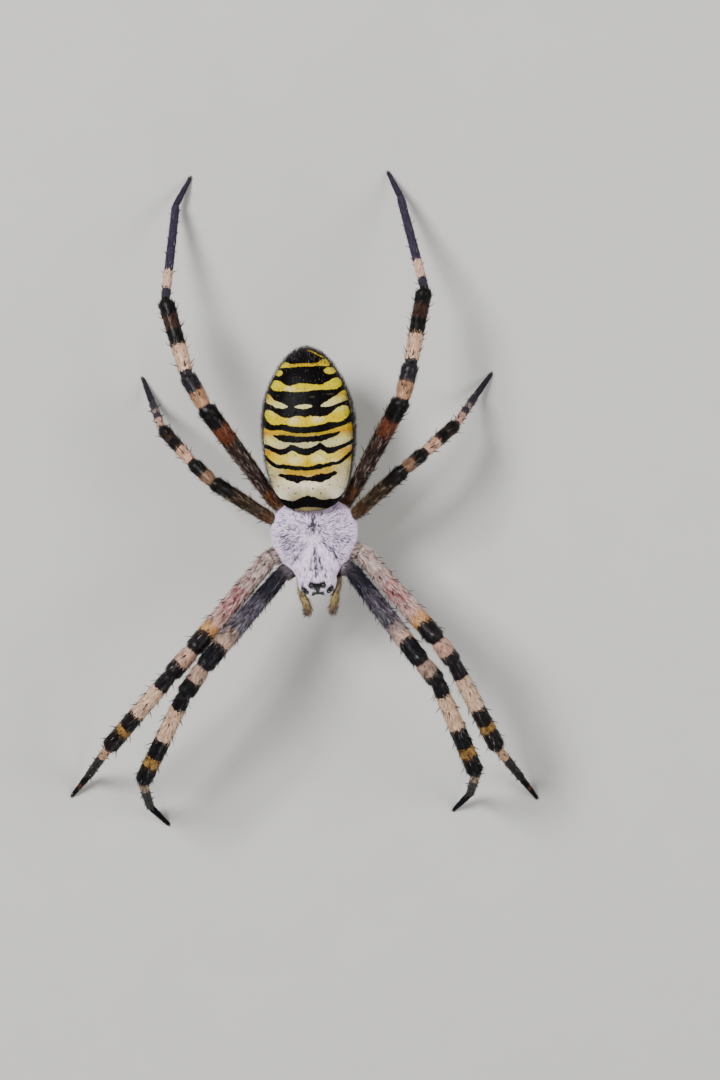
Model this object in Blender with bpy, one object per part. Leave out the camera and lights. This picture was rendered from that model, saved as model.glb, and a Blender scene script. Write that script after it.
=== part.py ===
"""A female wasp spider (Argiope bruennichi) as a still, life-size display model on its eight feet.

Metres, +Z up, head towards -Y, the spider's own left side towards +X. The tables below are in
millimetres and degrees, and MM turns them into metres where a shape is made. The body is laid out in its
own level frame, with x to its left, y to the rear and z up through the back, and is then pitched head-up
over the floor.
"""

import math

import bmesh
import bpy
from mathutils import Matrix, Vector

MM = 0.001
GAP = 0.05  # between pieces that meet face to face
FLOOR = 0.0

# Stance of the body over the floor
BODY_HEIGHT = 7.0
BODY_PITCH = 7.0
CARAPACE_YAW = 3.5
ABDOMEN_YAW = 2.0
ABDOMEN_ROLL = -4.0

# Cephalothorax: a pear-shaped shield, seam at its widest line
PROSOMA_FRONT, PROSOMA_REAR = -3.25, 3.0
THORAX_HALF_WIDTH, THORAX_MIDDLE = 2.66, 0.85
THORAX_FORWARD, THORAX_BACK = 3.0, 2.25
HEAD_HALF_WIDTH, HEAD_MIDDLE, HEAD_HALF_LENGTH = 1.25, -1.9, 1.37
SEAM_HEIGHT, SHIELD_RISE, STERNUM_DROP = 0.3, 0.98, 1.2
FOVEA_AT, FOVEA_DEPTH, FOVEA_SPREAD = 0.95, 0.14, 0.5
WAIST_FROM, WAIST_TO, WAIST_RADIUS = (0.0, 2.3, 0.25), (0.0, 3.4, 0.75), 0.34

# Abdomen, measured from the waist to the tip of the tail
ABDOMEN_WAIST = (-0.22, 2.95, 0.0)
ABDOMEN_LENGTH, ABDOMEN_HALF_WIDTH = 9.9, 3.05
ABDOMEN_RISE, ABDOMEN_DROP = 2.0, 2.5
ABDOMEN_SEAM_FRONT, ABDOMEN_SEAM_REAR = 0.85, 0.45
SHOULDER_LEAN, SHOULDER_HEIGHT, BELLY_LEAN = 1.3, 0.7, 0.55
SPINNERET_AT, SPINNERET_LENGTH = 0.70, 0.95

# Legs, by pair: hip over the carapace frame, then the five segments from the hip out
SEGMENTS = ("femur", "patella", "tibia", "metatarsus", "tarsus")
HIP = {1: (2.25, -1.75, 0.25), 2: (2.95, -0.6, -0.02), 3: (2.6, 1.75, 0.2), 4: (2.3, 2.75, -0.08)}
COXA_ROOT = {1: (0.75, -1.15, -0.4), 2: (0.95, -0.35, -0.45), 3: (0.95, 0.8, -0.45), 4: (0.65, 1.5, -0.45)}
COXA_RADIUS = {1: 0.6, 2: 0.6, 3: 0.5, 4: 0.52}
LENGTHS = {
    1: (8.3, 2.3, 7.2, 7.3, 2.2),
    2: (8.1, 2.2, 7.1, 7.0, 2.2),
    3: (4.8, 1.9, 3.5, 4.7, 1.9),
    4: (8.3, 2.4, 5.3, 7.8, 2.1),
}
# Radii at the near end and the far end of each segment
RADII = {
    1: ((0.52, 0.60), (0.55, 0.58), (0.50, 0.56), (0.31, 0.28), (0.26, 0.25)),
    2: ((0.56, 0.62), (0.55, 0.58), (0.49, 0.55), (0.31, 0.28), (0.26, 0.25)),
    3: ((0.40, 0.48), (0.43, 0.44), (0.37, 0.43), (0.28, 0.26), (0.25, 0.25)),
    4: ((0.42, 0.60), (0.50, 0.54), (0.46, 0.53), (0.32, 0.28), (0.26, 0.25)),
}
NECK, NECK_LENGTH = 0.8, 0.34  # how far a segment narrows at its joints, and over what length
RINGS = 5  # rings of the tube along each segment
STUB = 0.2
SOLE_HEIGHT = 0.07  # of the tarsus's middle line at its tip
TIP_RADIUS = 0.6  # of the tarsus's radius
# (heading, pitch) per segment: heading turns outwards from straight ahead, pitch lifts.
# The metatarsus's pitch is None, because it is whatever sets the foot on the floor.
POSE = {
    ("left", 1): ((40, 32), (35, -38), (22, -17), (-5, None), (-38, -40)),
    ("left", 2): ((43, 27), (34, -28), (26, -19), (30, None), (35, -34)),
    ("left", 3): ((134, 18), (127, -30), (128, -40), (137, None), (142, -29)),
    ("left", 4): ((153, 21), (166, -19), (169, -26), (195, None), (208, -39)),
    ("right", 1): ((42, 25), (33, -11), (25, -20), (-4, None), (-39, -36)),
    ("right", 2): ((41, 21), (41, -6), (39, -20), (30, None), (37, -30)),
    ("right", 3): ((124, 13), (132, -16), (135, -35), (147, None), (156, -33)),
    ("right", 4): ((145, 14), (150, -13), (163, -22), (185, None), (208, -26)),
}

# Feelers (pedipalps) and jaws (chelicerae)
PALP_PARTS = ("palp_femur", "palp_tibia", "palp_tarsus")
PALP_HIP = {"left": (1.42, -2.1, -0.35), "right": (1.12, -2.1, -0.5)}
PALP_ROOT = (0.6, -1.3, -0.6)
PALP_RADII = ((0.26, 0.25), (0.25, 0.27), (0.26, 0.25))
PALP_POSE = {
    "left": ((-10, 28, 1.15), (-10, -12, 0.9), (-8, -60, 1.15)),
    "right": ((-8, 8, 1.15), (-24, -12, 0.9), (4, -64, 1.15)),
}
JAW_TOP, JAW_SIZE, JAW_TILT = (0.42, -2.72, 0.12), (0.39, 0.46, 0.92), -5.0

# Eyes: station along the head, angle up from the side, radius
EYES = {
    "front_middle": (0.008, 69, 0.13),
    "rear_middle": (0.099, 75, 0.13),
    "front_side": (0.022, 37, 0.105),
    "rear_side": (0.056, 34, 0.105),
}
EYE_SUNK = 0.35  # of its radius

COLOURS = {
    "shield": ((0.62, 0.60, 0.62), 0.7),
    "abdomen": ((0.80, 0.62, 0.06), 0.45),
    "dark": ((0.030, 0.028, 0.034), 0.5),
    "rose": ((0.52, 0.30, 0.25), 0.6),
    "banded": ((0.36, 0.27, 0.20), 0.55),
    "brown": ((0.20, 0.10, 0.05), 0.55),
    "slate": ((0.10, 0.085, 0.11), 0.5),
    "amber": ((0.55, 0.33, 0.13), 0.4),
    "eye": ((0.004, 0.004, 0.005), 0.06),
}


def power(value, exponent):
    """A power that keeps its sign, for superellipse outlines."""
    return math.copysign(abs(value) ** exponent, value)


def lobe(value, outer, inner):
    """1 in the middle and 0 at value = -1 or 1; outer shapes the flanks, inner the ends."""
    return max(0.0, 1.0 - abs(value) ** outer) ** inner


def prosoma_half_width(y):
    reach = THORAX_FORWARD if y < THORAX_MIDDLE else THORAX_BACK
    flank = 1.8 if y < THORAX_MIDDLE else 2.4
    thorax = THORAX_HALF_WIDTH * lobe((y - THORAX_MIDDLE) / reach, flank, 0.5)
    head = HEAD_HALF_WIDTH * lobe((y - HEAD_MIDDLE) / HEAD_HALF_LENGTH, 4.0, 0.32)
    return (thorax**6 + head**6) ** (1 / 6)


def prosoma_point(station, angle):
    """Surface of the cephalothorax: station 0 to 1 from face to waist, angle round from the +X side."""
    y = PROSOMA_FRONT + (PROSOMA_REAR - PROSOMA_FRONT) * station
    c, s = math.cos(angle), math.sin(angle)
    middle = (PROSOMA_FRONT + PROSOMA_REAR) / 2
    along = (y - middle) / (PROSOMA_REAR - middle)
    if s >= 0:
        x = prosoma_half_width(y) * power(c, 0.85)
        z = SEAM_HEIGHT + SHIELD_RISE * lobe(along, 3.2, 0.45) * s**0.9
        pit = math.hypot(x / FOVEA_SPREAD, (y - FOVEA_AT) / FOVEA_SPREAD)
        z -= FOVEA_DEPTH * math.exp(-pit * pit)
    else:
        x = prosoma_half_width(y) * power(c, 1.3)
        z = SEAM_HEIGHT - STERNUM_DROP * lobe(along, 1.8, 0.6) * (-s) ** 0.8
    return Vector((x, y, z))


def abdomen_point(station, angle):
    """Surface of the abdomen, station 0 to 1 from waist to tail, angle round from the +X side."""
    c, s = math.cos(angle), math.sin(angle)
    along = 2 * station - 1
    rear = station > 0.5
    wide = lobe(along, 1.7, 0.55) if rear else lobe(along, 2.0, 0.22)
    high = lobe(along, 2.2, 0.50) if rear else lobe(along, 2.0, 0.24)
    deep = lobe(along, 2.4, 0.80) if rear else lobe(along, 2.0, 0.40)
    x = ABDOMEN_HALF_WIDTH * wide * power(c, 0.92)
    lift = (ABDOMEN_RISE * high if s >= 0 else ABDOMEN_DROP * deep) * power(s, 0.92)
    lean = SHOULDER_LEAN * (1 - math.exp(-lift / SHOULDER_HEIGHT)) if s >= 0 else BELLY_LEAN * lift
    seam = ABDOMEN_SEAM_REAR + (ABDOMEN_SEAM_FRONT - ABDOMEN_SEAM_REAR) * (1 - station) ** 3
    y = ABDOMEN_LENGTH * station - lean * (1 - station) ** 4
    return Vector((x, y, seam + lift))


def body_frame():
    """From the body's level frame, in millimetres, to the floor frame."""
    return Matrix.Translation((0, 0, BODY_HEIGHT)) @ Matrix.Rotation(-math.radians(BODY_PITCH), 4, "X")


def carapace_frame():
    return body_frame() @ Matrix.Rotation(math.radians(CARAPACE_YAW), 4, "Z")


def abdomen_frame():
    yaw = Matrix.Rotation(math.radians(ABDOMEN_YAW), 4, "Z")
    roll = Matrix.Rotation(math.radians(ABDOMEN_ROLL), 4, "Y")
    return body_frame() @ Matrix.Translation(ABDOMEN_WAIST) @ yaw @ roll


def on_side(side, point):
    return Vector((point[0] if side == "left" else -point[0], point[1], point[2]))


def direction(side, heading, pitch):
    h, p = math.radians(heading), math.radians(pitch)
    return on_side(side, (math.sin(h) * math.cos(p), -math.cos(h) * math.cos(p), math.sin(p)))


def leg_joints(side, pair):
    """Coxa root, hip, four joints and tip of a leg, over the floor and in millimetres."""
    frame = carapace_frame()
    points = [frame @ on_side(side, COXA_ROOT[pair]), frame @ on_side(side, HIP[pair])]
    pose = POSE[side, pair]
    foot_drop = LENGTHS[pair][4] * math.sin(math.radians(-pose[4][1]))
    for (heading, pitch), length in zip(pose, LENGTHS[pair]):
        if pitch is None:
            fall = points[-1].z - foot_drop - SOLE_HEIGHT - FLOOR
            pitch = -math.degrees(math.asin(fall / length))
        points.append(points[-1] + direction(side, heading, pitch) * length)
    return points


def palp_joints(side):
    frame = carapace_frame()
    points = [frame @ on_side(side, PALP_ROOT), frame @ on_side(side, PALP_HIP[side])]
    for heading, pitch, length in PALP_POSE[side]:
        points.append(points[-1] + direction(side, heading, pitch) * length)
    return points


def stations(points, radii, tip):
    """(point, radius) along a jointed limb: full near each joint, necked at it, rounded at the tip."""
    rows = []
    last = len(radii) - 1
    for i, (near, far) in enumerate(radii):
        start, end = points[i], points[i + 1]
        length = (end - start).length
        neck = NECK * min(near, radii[i - 1][1]) if i else near
        rows.append((start, neck))
        span = length - 2 * NECK_LENGTH
        for at in (NECK_LENGTH + span * step / (RINGS - 2) for step in range(RINGS - 1)):
            share = at / length
            rows.append((start.lerp(end, share), near + (far - near) * share))
        if i == last:
            rows.append((start.lerp(end, 1 - 0.12 / length), far * (tip + 1) / 2))
            rows.append((end, far * tip))
    return rows


def tube(rows, sides):
    """A closed tube through (point, radius) rows, as a bmesh in metres."""
    curve = bpy.data.curves.new("limb", "CURVE")
    curve.dimensions = "3D"
    curve.bevel_depth = MM
    curve.bevel_resolution = (sides - 4) // 2
    curve.use_fill_caps = True
    spline = curve.splines.new("POLY")
    spline.points.add(len(rows) - 1)
    for spot, (point, radius) in zip(spline.points, rows):
        spot.co = (*(point * MM), 1)
        spot.radius = radius
    guide = bpy.data.objects.new("limb", curve)
    bpy.context.scene.collection.objects.link(guide)
    graph = bpy.context.evaluated_depsgraph_get()
    mesh = bpy.data.meshes.new_from_object(guide.evaluated_get(graph))
    shape = bmesh.new()
    shape.from_mesh(mesh)
    bmesh.ops.remove_doubles(shape, verts=shape.verts, dist=1e-6)
    bmesh.ops.recalc_face_normals(shape, faces=shape.faces)
    bpy.data.objects.remove(guide)
    bpy.data.curves.remove(curve)
    bpy.data.meshes.remove(mesh)
    return shape


def trim(shape, point, normal):
    """Cuts away what lies on the far side of a plane, in millimetres, and closes the cut."""
    geometry = shape.verts[:] + shape.edges[:] + shape.faces[:]
    bmesh.ops.bisect_plane(
        shape, geom=geometry, dist=1e-8, plane_co=point * MM, plane_no=normal, clear_outer=True
    )
    rim = [edge for edge in shape.edges if edge.is_boundary]
    bmesh.ops.holes_fill(shape, edges=rim, sides=0)


def joint_normal(points, i):
    """Unit normal of the plane that halves the bend at joint i."""
    before = (points[i] - points[i - 1]).normalized()
    after = (points[i + 1] - points[i]).normalized()
    return (before + after).normalized()


def limb_piece(points, rows, i, sides):
    """Segment i of a limb. A short point beyond each joint sets the end ring, and is then cut away."""
    piece_rows = rows[i * RINGS : (i + 1) * RINGS + 1]
    inner, outer = i > 0, i < len(points) - 2
    if inner:
        back = (points[i - 1] - points[i]).normalized()
        piece_rows = [(points[i] + back * STUB, STUB / 4)] + piece_rows
    if outer:
        ahead = (points[i + 2] - points[i + 1]).normalized()
        piece_rows = piece_rows + [(points[i + 1] + ahead * STUB, STUB / 4)]
    else:
        piece_rows += rows[(i + 1) * RINGS + 1 :]
    piece = tube(piece_rows, sides)
    if inner:
        normal = joint_normal(points, i)
        trim(piece, points[i] + normal * GAP / 2, -normal)
    if outer:
        normal = joint_normal(points, i + 1)
        trim(piece, points[i + 1] - normal * GAP / 2, normal)
    return piece


def ball(segments, rings, place, crowd=1.0):
    """A closed ball with its points where place(station, angle) says; crowd draws rings forward."""
    shape = bmesh.new()
    bmesh.ops.create_uvsphere(shape, u_segments=segments, v_segments=rings, radius=1)
    for vert in shape.verts:
        station = math.acos(max(-1.0, min(1.0, vert.co.z))) / math.pi
        angle = math.atan2(vert.co.y, vert.co.x)
        eased = (1 - math.cos(math.pi * station)) / 2
        vert.co = place(eased**crowd, angle) * MM
    return shape


def add(name, shape, look, frame=None, origin=(0, 0, 0), collection=None):
    """Makes an object of a bmesh in metres; frame and origin are in millimetres."""
    mesh = bpy.data.meshes.new(name)
    shape.to_mesh(mesh)
    shape.free()
    origin = Vector(origin) * MM
    mesh.transform(Matrix.Translation(-origin))
    mesh.shade_smooth()
    mesh.set_sharp_from_angle(angle=math.radians(50))
    mesh.materials.append(material(look))
    thing = bpy.data.objects.new(name, mesh)
    (collection or model).objects.link(thing)
    thing.parent = root
    place = (frame or Matrix.Identity(4)).copy()
    place.translation = place.translation * MM
    thing.matrix_basis = place @ Matrix.Translation(origin)
    return thing


def helper(thing):
    thing.hide_render = True
    thing.display_type = "WIRE"
    return thing


def material(look):
    found = bpy.data.materials.get(look)
    if found:
        return found
    colour, roughness = COLOURS[look]
    made = bpy.data.materials.new(look)
    made.use_nodes = True
    shader = made.node_tree.nodes["Principled BSDF"]
    shader.inputs["Base Color"].default_value = (*colour, 1)
    shader.inputs["Roughness"].default_value = roughness
    shader.inputs["Metallic"].default_value = 0.0
    made.diffuse_color = (*colour, 1)
    return made


def boolean(thing, operation, pieces):
    """One Boolean for each helper in a group, in turn."""
    for piece in pieces.objects:
        modifier = thing.modifiers.new(piece.name, "BOOLEAN")
        modifier.operation = operation
        modifier.solver = "EXACT"
        modifier.object = piece


def group(name):
    made = bpy.data.collections.new(name)
    bpy.context.scene.collection.children.link(made)
    made.hide_render = True
    return made


def fattened(thing, by):
    """A hidden copy of an object, each point pushed out by a clearance, to cut room for it."""
    shape = bmesh.new()
    shape.from_mesh(thing.data)
    shape.normal_update()
    pushed = [vert.co + vert.normal * by * MM for vert in shape.verts]
    for vert, place in zip(shape.verts, pushed):
        vert.co = place
    mesh = bpy.data.meshes.new(thing.name + "_room")
    shape.to_mesh(mesh)
    shape.free()
    copy = helper(bpy.data.objects.new(mesh.name, mesh))
    copy.parent = root
    copy.matrix_basis = thing.matrix_basis
    return copy


def leg_look(pair, segment):
    if segment == "femur":
        return {1: "slate", 2: "rose", 3: "brown", 4: "brown"}[pair]
    return {"patella": "banded", "tibia": "banded", "metatarsus": "slate", "tarsus": "dark"}[segment]


def make_limbs():
    """The segments outside the body; each hip piece inside it goes to the body's own union."""
    for (side, pair), _ in POSE.items():
        points = leg_joints(side, pair)
        radii = ((COXA_RADIUS[pair], RADII[pair][0][0]),) + RADII[pair]
        rows = stations(points, radii, TIP_RADIUS)
        add(f"coxa_{side}_{pair}", limb_piece(points, rows, 0, 10), "brown", collection=underside)
        for i, segment in enumerate(SEGMENTS, 1):
            piece = limb_piece(points, rows, i, 10)
            if segment == "tarsus":
                trim(piece, Vector((0, 0, FLOOR)), Vector((0, 0, -1)))
            look = leg_look(pair, segment)
            add(f"leg_{side}_{pair}_{segment}", piece, look, origin=points[i])
    for side in ("left", "right"):
        points = palp_joints(side)
        radii = ((0.42, PALP_RADII[0][0]),) + PALP_RADII
        rows = stations(points, radii, TIP_RADIUS)
        add(f"palp_base_{side}", limb_piece(points, rows, 0, 8), "amber", collection=underside)
        for i, name in enumerate(PALP_PARTS, 1):
            add(f"{name}_{side}", limb_piece(points, rows, i, 8), "amber", origin=points[i])


def make_eyes():
    """Eight balls let into the head, each in a socket that clears it."""
    for name, (station, rise, radius) in EYES.items():
        for side in ("left", "right"):
            angle = math.radians(rise if side == "left" else 180 - rise)
            here = prosoma_point(station, angle)
            along = prosoma_point(station + 0.01, angle) - here
            around = prosoma_point(station, angle + 0.02) - here
            outward = along.cross(around).normalized()
            centre = here - outward * radius * EYE_SUNK
            shape = bmesh.new()
            bmesh.ops.create_uvsphere(shape, u_segments=10, v_segments=8, radius=radius * MM)
            bmesh.ops.translate(shape, verts=shape.verts, vec=centre * MM)
            eye = add(f"eye_{name}_{side}", shape, "eye", carapace_frame(), origin=centre)
            sockets.objects.link(fattened(eye, GAP * 0.6))


def make_jaws():
    for side in ("left", "right"):
        turn = Matrix.Rotation(math.radians(JAW_TILT), 3, "X")

        def jaw(station, angle, turn=turn, side=side):
            ring = math.sin(math.pi * station) ** 0.5
            down = -2 * JAW_SIZE[2] * station
            out = Vector((JAW_SIZE[0] * ring * math.cos(angle), JAW_SIZE[1] * ring * math.sin(angle), down))
            return on_side(side, JAW_TOP) + turn @ out

        thing = add(f"chelicera_{side}", ball(12, 9, jaw), "amber", carapace_frame())
        boolean(thing, "DIFFERENCE", body_room)


def make_bodies():
    body = add("cephalothorax", ball(28, 18, prosoma_point), "shield", carapace_frame())
    body_room.objects.link(fattened(body, GAP))
    waist = tube([(Vector(WAIST_FROM), WAIST_RADIUS), (Vector(WAIST_TO), WAIST_RADIUS)], 10)
    add("waist", waist, "brown", carapace_frame(), collection=underside)
    abdomen = add("abdomen", ball(28, 24, abdomen_point, 1.5), "abdomen", abdomen_frame())
    abdomen_room.objects.link(fattened(abdomen, GAP))
    boolean(body, "UNION", underside)
    boolean(body, "DIFFERENCE", sockets)
    boolean(body, "DIFFERENCE", abdomen_room)
    make_spinnerets()


def make_spinnerets():
    """A low collar with two pairs of blunt cones, let into the underside of the abdomen."""
    foot = abdomen_point(SPINNERET_AT, -math.pi / 2)
    collar = [(foot + Vector((0, -0.1, 0.35)), 0.72), (foot + Vector((0, 0.0, -0.18)), 0.55)]
    thing = add("spinnerets", tube(collar, 12), "brown", abdomen_frame())
    for x, y, length, lean in ((0.24, -0.16, 1.0, 8), (0.2, 0.24, 0.8, 24)):
        for side in ("left", "right"):
            start = foot + on_side(side, (x, y, 0.1))
            turn = Matrix.Rotation(math.radians(lean), 3, "X")
            way = turn @ Vector((0, 0, -SPINNERET_LENGTH * length))
            rows = [(start, 0.22), (start.lerp(start + way, 0.7), 0.2), (start + way, 0.1)]
            add(f"spinneret_{side}_{lean}", tube(rows, 8), "brown", abdomen_frame(), collection=cones)
    boolean(thing, "UNION", cones)
    boolean(thing, "DIFFERENCE", abdomen_room)


def settle():
    """Moves the whole model so that the middle of its footprint is over the origin."""
    bpy.context.view_layer.update()
    graph = bpy.context.evaluated_depsgraph_get()
    corners = []
    for thing in model.objects:
        if thing.type != "MESH" or thing.hide_render:
            continue
        solid = thing.evaluated_get(graph)
        corners += [solid.matrix_world @ vert.co for vert in solid.data.vertices]
    for axis in (0, 1):
        values = [corner[axis] for corner in corners]
        root.location[axis] -= (min(values) + max(values)) / 2


for old in list(bpy.data.objects):
    bpy.data.objects.remove(old)

model = bpy.data.collections.new("garden_spider")
bpy.context.scene.collection.children.link(model)
root = bpy.data.objects.new("root", None)
model.objects.link(root)
underside, sockets = group("underside"), group("sockets")
body_room, abdomen_room, cones = group("body_room"), group("abdomen_room"), group("cones")

make_limbs()
make_eyes()
make_bodies()
make_jaws()
settle()
for extra in (underside, sockets, body_room, abdomen_room, cones):
    for thing in extra.objects:
        helper(thing)
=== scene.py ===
"""Finish of the life-size garden spider, a female wasp spider (Argiope bruennichi), standing on its feet.

The tables are in millimetres and degrees, in the body's own frame: x to the spider's left, y to the rear,
z up. MM turns them into metres where a mesh is made. Each body part wears one unbroken skin, a little
inside the frame's solids, and a coat of short bristles and scales that lies on it.
"""

import math

import bpy
import numpy as np
from mathutils import Matrix, Vector


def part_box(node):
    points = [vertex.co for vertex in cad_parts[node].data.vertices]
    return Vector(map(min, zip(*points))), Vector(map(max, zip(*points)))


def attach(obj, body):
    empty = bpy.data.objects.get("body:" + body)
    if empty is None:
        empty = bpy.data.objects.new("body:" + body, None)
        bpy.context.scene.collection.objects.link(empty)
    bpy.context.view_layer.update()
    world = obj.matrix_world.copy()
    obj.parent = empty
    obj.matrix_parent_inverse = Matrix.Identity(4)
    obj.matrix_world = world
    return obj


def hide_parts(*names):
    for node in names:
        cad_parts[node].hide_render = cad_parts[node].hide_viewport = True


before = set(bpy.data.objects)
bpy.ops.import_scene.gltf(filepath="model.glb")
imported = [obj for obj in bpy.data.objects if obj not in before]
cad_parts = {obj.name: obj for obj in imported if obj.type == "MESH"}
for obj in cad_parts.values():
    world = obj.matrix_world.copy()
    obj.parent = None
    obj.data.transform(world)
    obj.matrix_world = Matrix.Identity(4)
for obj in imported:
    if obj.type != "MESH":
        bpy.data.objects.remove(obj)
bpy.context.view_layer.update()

MM = 0.001
FLOOR_CLEAR = 0.004  # of the lowest points above the floor
SKIN_DEPTH = 0.045  # of the skin under the solids' surface, which leaves room for the coat

# ---------------------------------------------------------------- the body, as the frame has it

# Lengths, turns and the exponents of the outlines are those that the solids were made with.

BODY_HEIGHT, BODY_PITCH = 7.0, 7.0
CARAPACE_YAW, ABDOMEN_YAW, ABDOMEN_ROLL = 3.5, 2.0, -4.0

PROSOMA_FRONT, PROSOMA_REAR = -3.25, 3.0
THORAX_HALF_WIDTH, THORAX_MIDDLE = 2.66, 0.85
THORAX_FORWARD, THORAX_BACK = 3.0, 2.25
HEAD_HALF_WIDTH, HEAD_MIDDLE, HEAD_HALF_LENGTH = 1.25, -1.9, 1.37
SEAM_HEIGHT, SHIELD_RISE, STERNUM_DROP = 0.3, 0.98, 1.2
FOVEA_AT, FOVEA_DEPTH, FOVEA_SPREAD = 0.95, 0.14, 0.5
WAIST_FROM, WAIST_TO, WAIST_RADIUS = (0.0, 2.3, 0.25), (0.0, 3.4, 0.75), 0.31

ABDOMEN_WAIST = (-0.22, 2.95, 0.0)
ABDOMEN_LENGTH, ABDOMEN_HALF_WIDTH = 9.9, 3.05
ABDOMEN_RISE, ABDOMEN_DROP = 2.0, 2.5
ABDOMEN_SEAM_FRONT, ABDOMEN_SEAM_REAR = 0.85, 0.45
SHOULDER_LEAN, SHOULDER_HEIGHT, BELLY_LEAN = 1.3, 0.7, 0.55
SPINNERET_AT, SPINNERET_LENGTH = 0.70, 0.95

SIDES = ("left", "right")
SEGMENTS = ("femur", "patella", "tibia", "metatarsus", "tarsus")
# For each pair of legs: where the femur and the coxa begin, then length and end radii of each segment
HIP = {1: (2.25, -1.75, 0.25), 2: (2.95, -0.6, -0.02), 3: (2.6, 1.75, 0.2), 4: (2.3, 2.75, -0.08)}
COXA_ROOT = {1: (0.75, -1.15, -0.4), 2: (0.95, -0.35, -0.45), 3: (0.95, 0.8, -0.45), 4: (0.65, 1.5, -0.45)}
COXA_RADIUS = {1: 0.6, 2: 0.6, 3: 0.5, 4: 0.52}
LENGTHS = {
    1: (8.3, 2.3, 7.2, 7.3, 2.2),
    2: (8.1, 2.2, 7.1, 7.0, 2.2),
    3: (4.8, 1.9, 3.5, 4.7, 1.9),
    4: (8.3, 2.4, 5.3, 7.8, 2.1),
}
RADII = {
    1: ((0.52, 0.60), (0.55, 0.58), (0.50, 0.56), (0.31, 0.28), (0.26, 0.25)),
    2: ((0.56, 0.62), (0.55, 0.58), (0.49, 0.55), (0.31, 0.28), (0.26, 0.25)),
    3: ((0.40, 0.48), (0.43, 0.44), (0.37, 0.43), (0.28, 0.26), (0.25, 0.25)),
    4: ((0.42, 0.60), (0.50, 0.54), (0.46, 0.53), (0.32, 0.28), (0.26, 0.25)),
}
SOLE_HEIGHT = 0.07
TIP_SHARE = 0.6
# Heading and pitch of each segment. None: the pitch that brings the sole down to the floor
POSE = {
    ("left", 1): ((40, 32), (35, -38), (22, -17), (-5, None), (-38, -40)),
    ("left", 2): ((43, 27), (34, -28), (26, -19), (30, None), (35, -34)),
    ("left", 3): ((134, 18), (127, -30), (128, -40), (137, None), (142, -29)),
    ("left", 4): ((153, 21), (166, -19), (169, -26), (195, None), (208, -39)),
    ("right", 1): ((42, 25), (33, -11), (25, -20), (-4, None), (-39, -36)),
    ("right", 2): ((41, 21), (41, -6), (39, -20), (30, None), (37, -30)),
    ("right", 3): ((124, 13), (132, -16), (135, -35), (147, None), (156, -33)),
    ("right", 4): ((145, 14), (150, -13), (163, -22), (185, None), (208, -26)),
}

PALP_PARTS = ("palp_femur", "palp_tibia", "palp_tarsus")
PALP_HIP = {"left": (1.42, -2.1, -0.35), "right": (1.12, -2.1, -0.5)}
PALP_ROOT = (0.6, -1.3, -0.6)
PALP_RADII = ((0.26, 0.25), (0.25, 0.27), (0.26, 0.25))
PALP_POSE = {  # heading, pitch and length of each segment
    "left": ((-10, 28, 1.15), (-10, -12, 0.9), (-8, -60, 1.15)),
    "right": ((-8, 8, 1.15), (-24, -12, 0.9), (4, -64, 1.15)),
}
JAW_TOP, JAW_SIZE, JAW_TILT = (0.42, -2.72, 0.12), (0.39, 0.46, 0.92), -5.0

EYES = {  # share of the way from face to waist, degrees round the shield, radius
    "front_middle": (0.008, 69, 0.13),
    "rear_middle": (0.099, 75, 0.13),
    "front_side": (0.022, 37, 0.105),
    "rear_side": (0.056, 34, 0.105),
}
EYE_SUNK = 0.35


def power(value, exponent):
    """A power that keeps its sign, for superellipse outlines."""
    return np.sign(value) * np.abs(value) ** exponent


def lobe(value, outer, inner):
    """1 in the middle and 0 at value = -1 or 1; outer shapes the flanks, inner the ends."""
    return np.maximum(0.0, 1.0 - np.abs(value) ** outer) ** inner


def smooth(value, low, high):
    """0 below low, 1 above high, and an S-curve between."""
    share = np.clip((value - low) / (high - low), 0, 1)
    return share * share * (3 - 2 * share)


def hump(distance, spread):
    return np.exp(-((distance / spread) ** 2))


def stacked(*columns):
    return np.stack(np.broadcast_arrays(*columns), axis=-1)


def prosoma_half_width(y):
    forward = y < THORAX_MIDDLE
    reach = np.where(forward, THORAX_FORWARD, THORAX_BACK)
    flank = np.where(forward, 1.8, 2.4)
    thorax = THORAX_HALF_WIDTH * lobe((y - THORAX_MIDDLE) / reach, flank, 0.5)
    head = HEAD_HALF_WIDTH * lobe((y - HEAD_MIDDLE) / HEAD_HALF_LENGTH, 4.0, 0.32)
    return (thorax**6 + head**6) ** (1 / 6)


def prosoma_point(station, angle):
    """Surface of the cephalothorax: station 0 to 1 from face to waist, angle round from the +X side."""
    y = PROSOMA_FRONT + (PROSOMA_REAR - PROSOMA_FRONT) * station
    c, s = np.cos(angle), np.sin(angle)
    middle = (PROSOMA_FRONT + PROSOMA_REAR) / 2
    along = (y - middle) / (PROSOMA_REAR - middle)
    width = prosoma_half_width(y)
    back_x = width * power(c, 0.85)
    pit = np.hypot(back_x, y - FOVEA_AT) / FOVEA_SPREAD
    back_z = SHIELD_RISE * lobe(along, 3.2, 0.45) * np.abs(s) ** 0.9 - FOVEA_DEPTH * np.exp(-pit * pit)
    under_z = -STERNUM_DROP * lobe(along, 1.8, 0.6) * np.abs(s) ** 0.8
    x = np.where(s >= 0, back_x, width * power(c, 1.3))
    return stacked(x, y, SEAM_HEIGHT + np.where(s >= 0, back_z, under_z))


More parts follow.
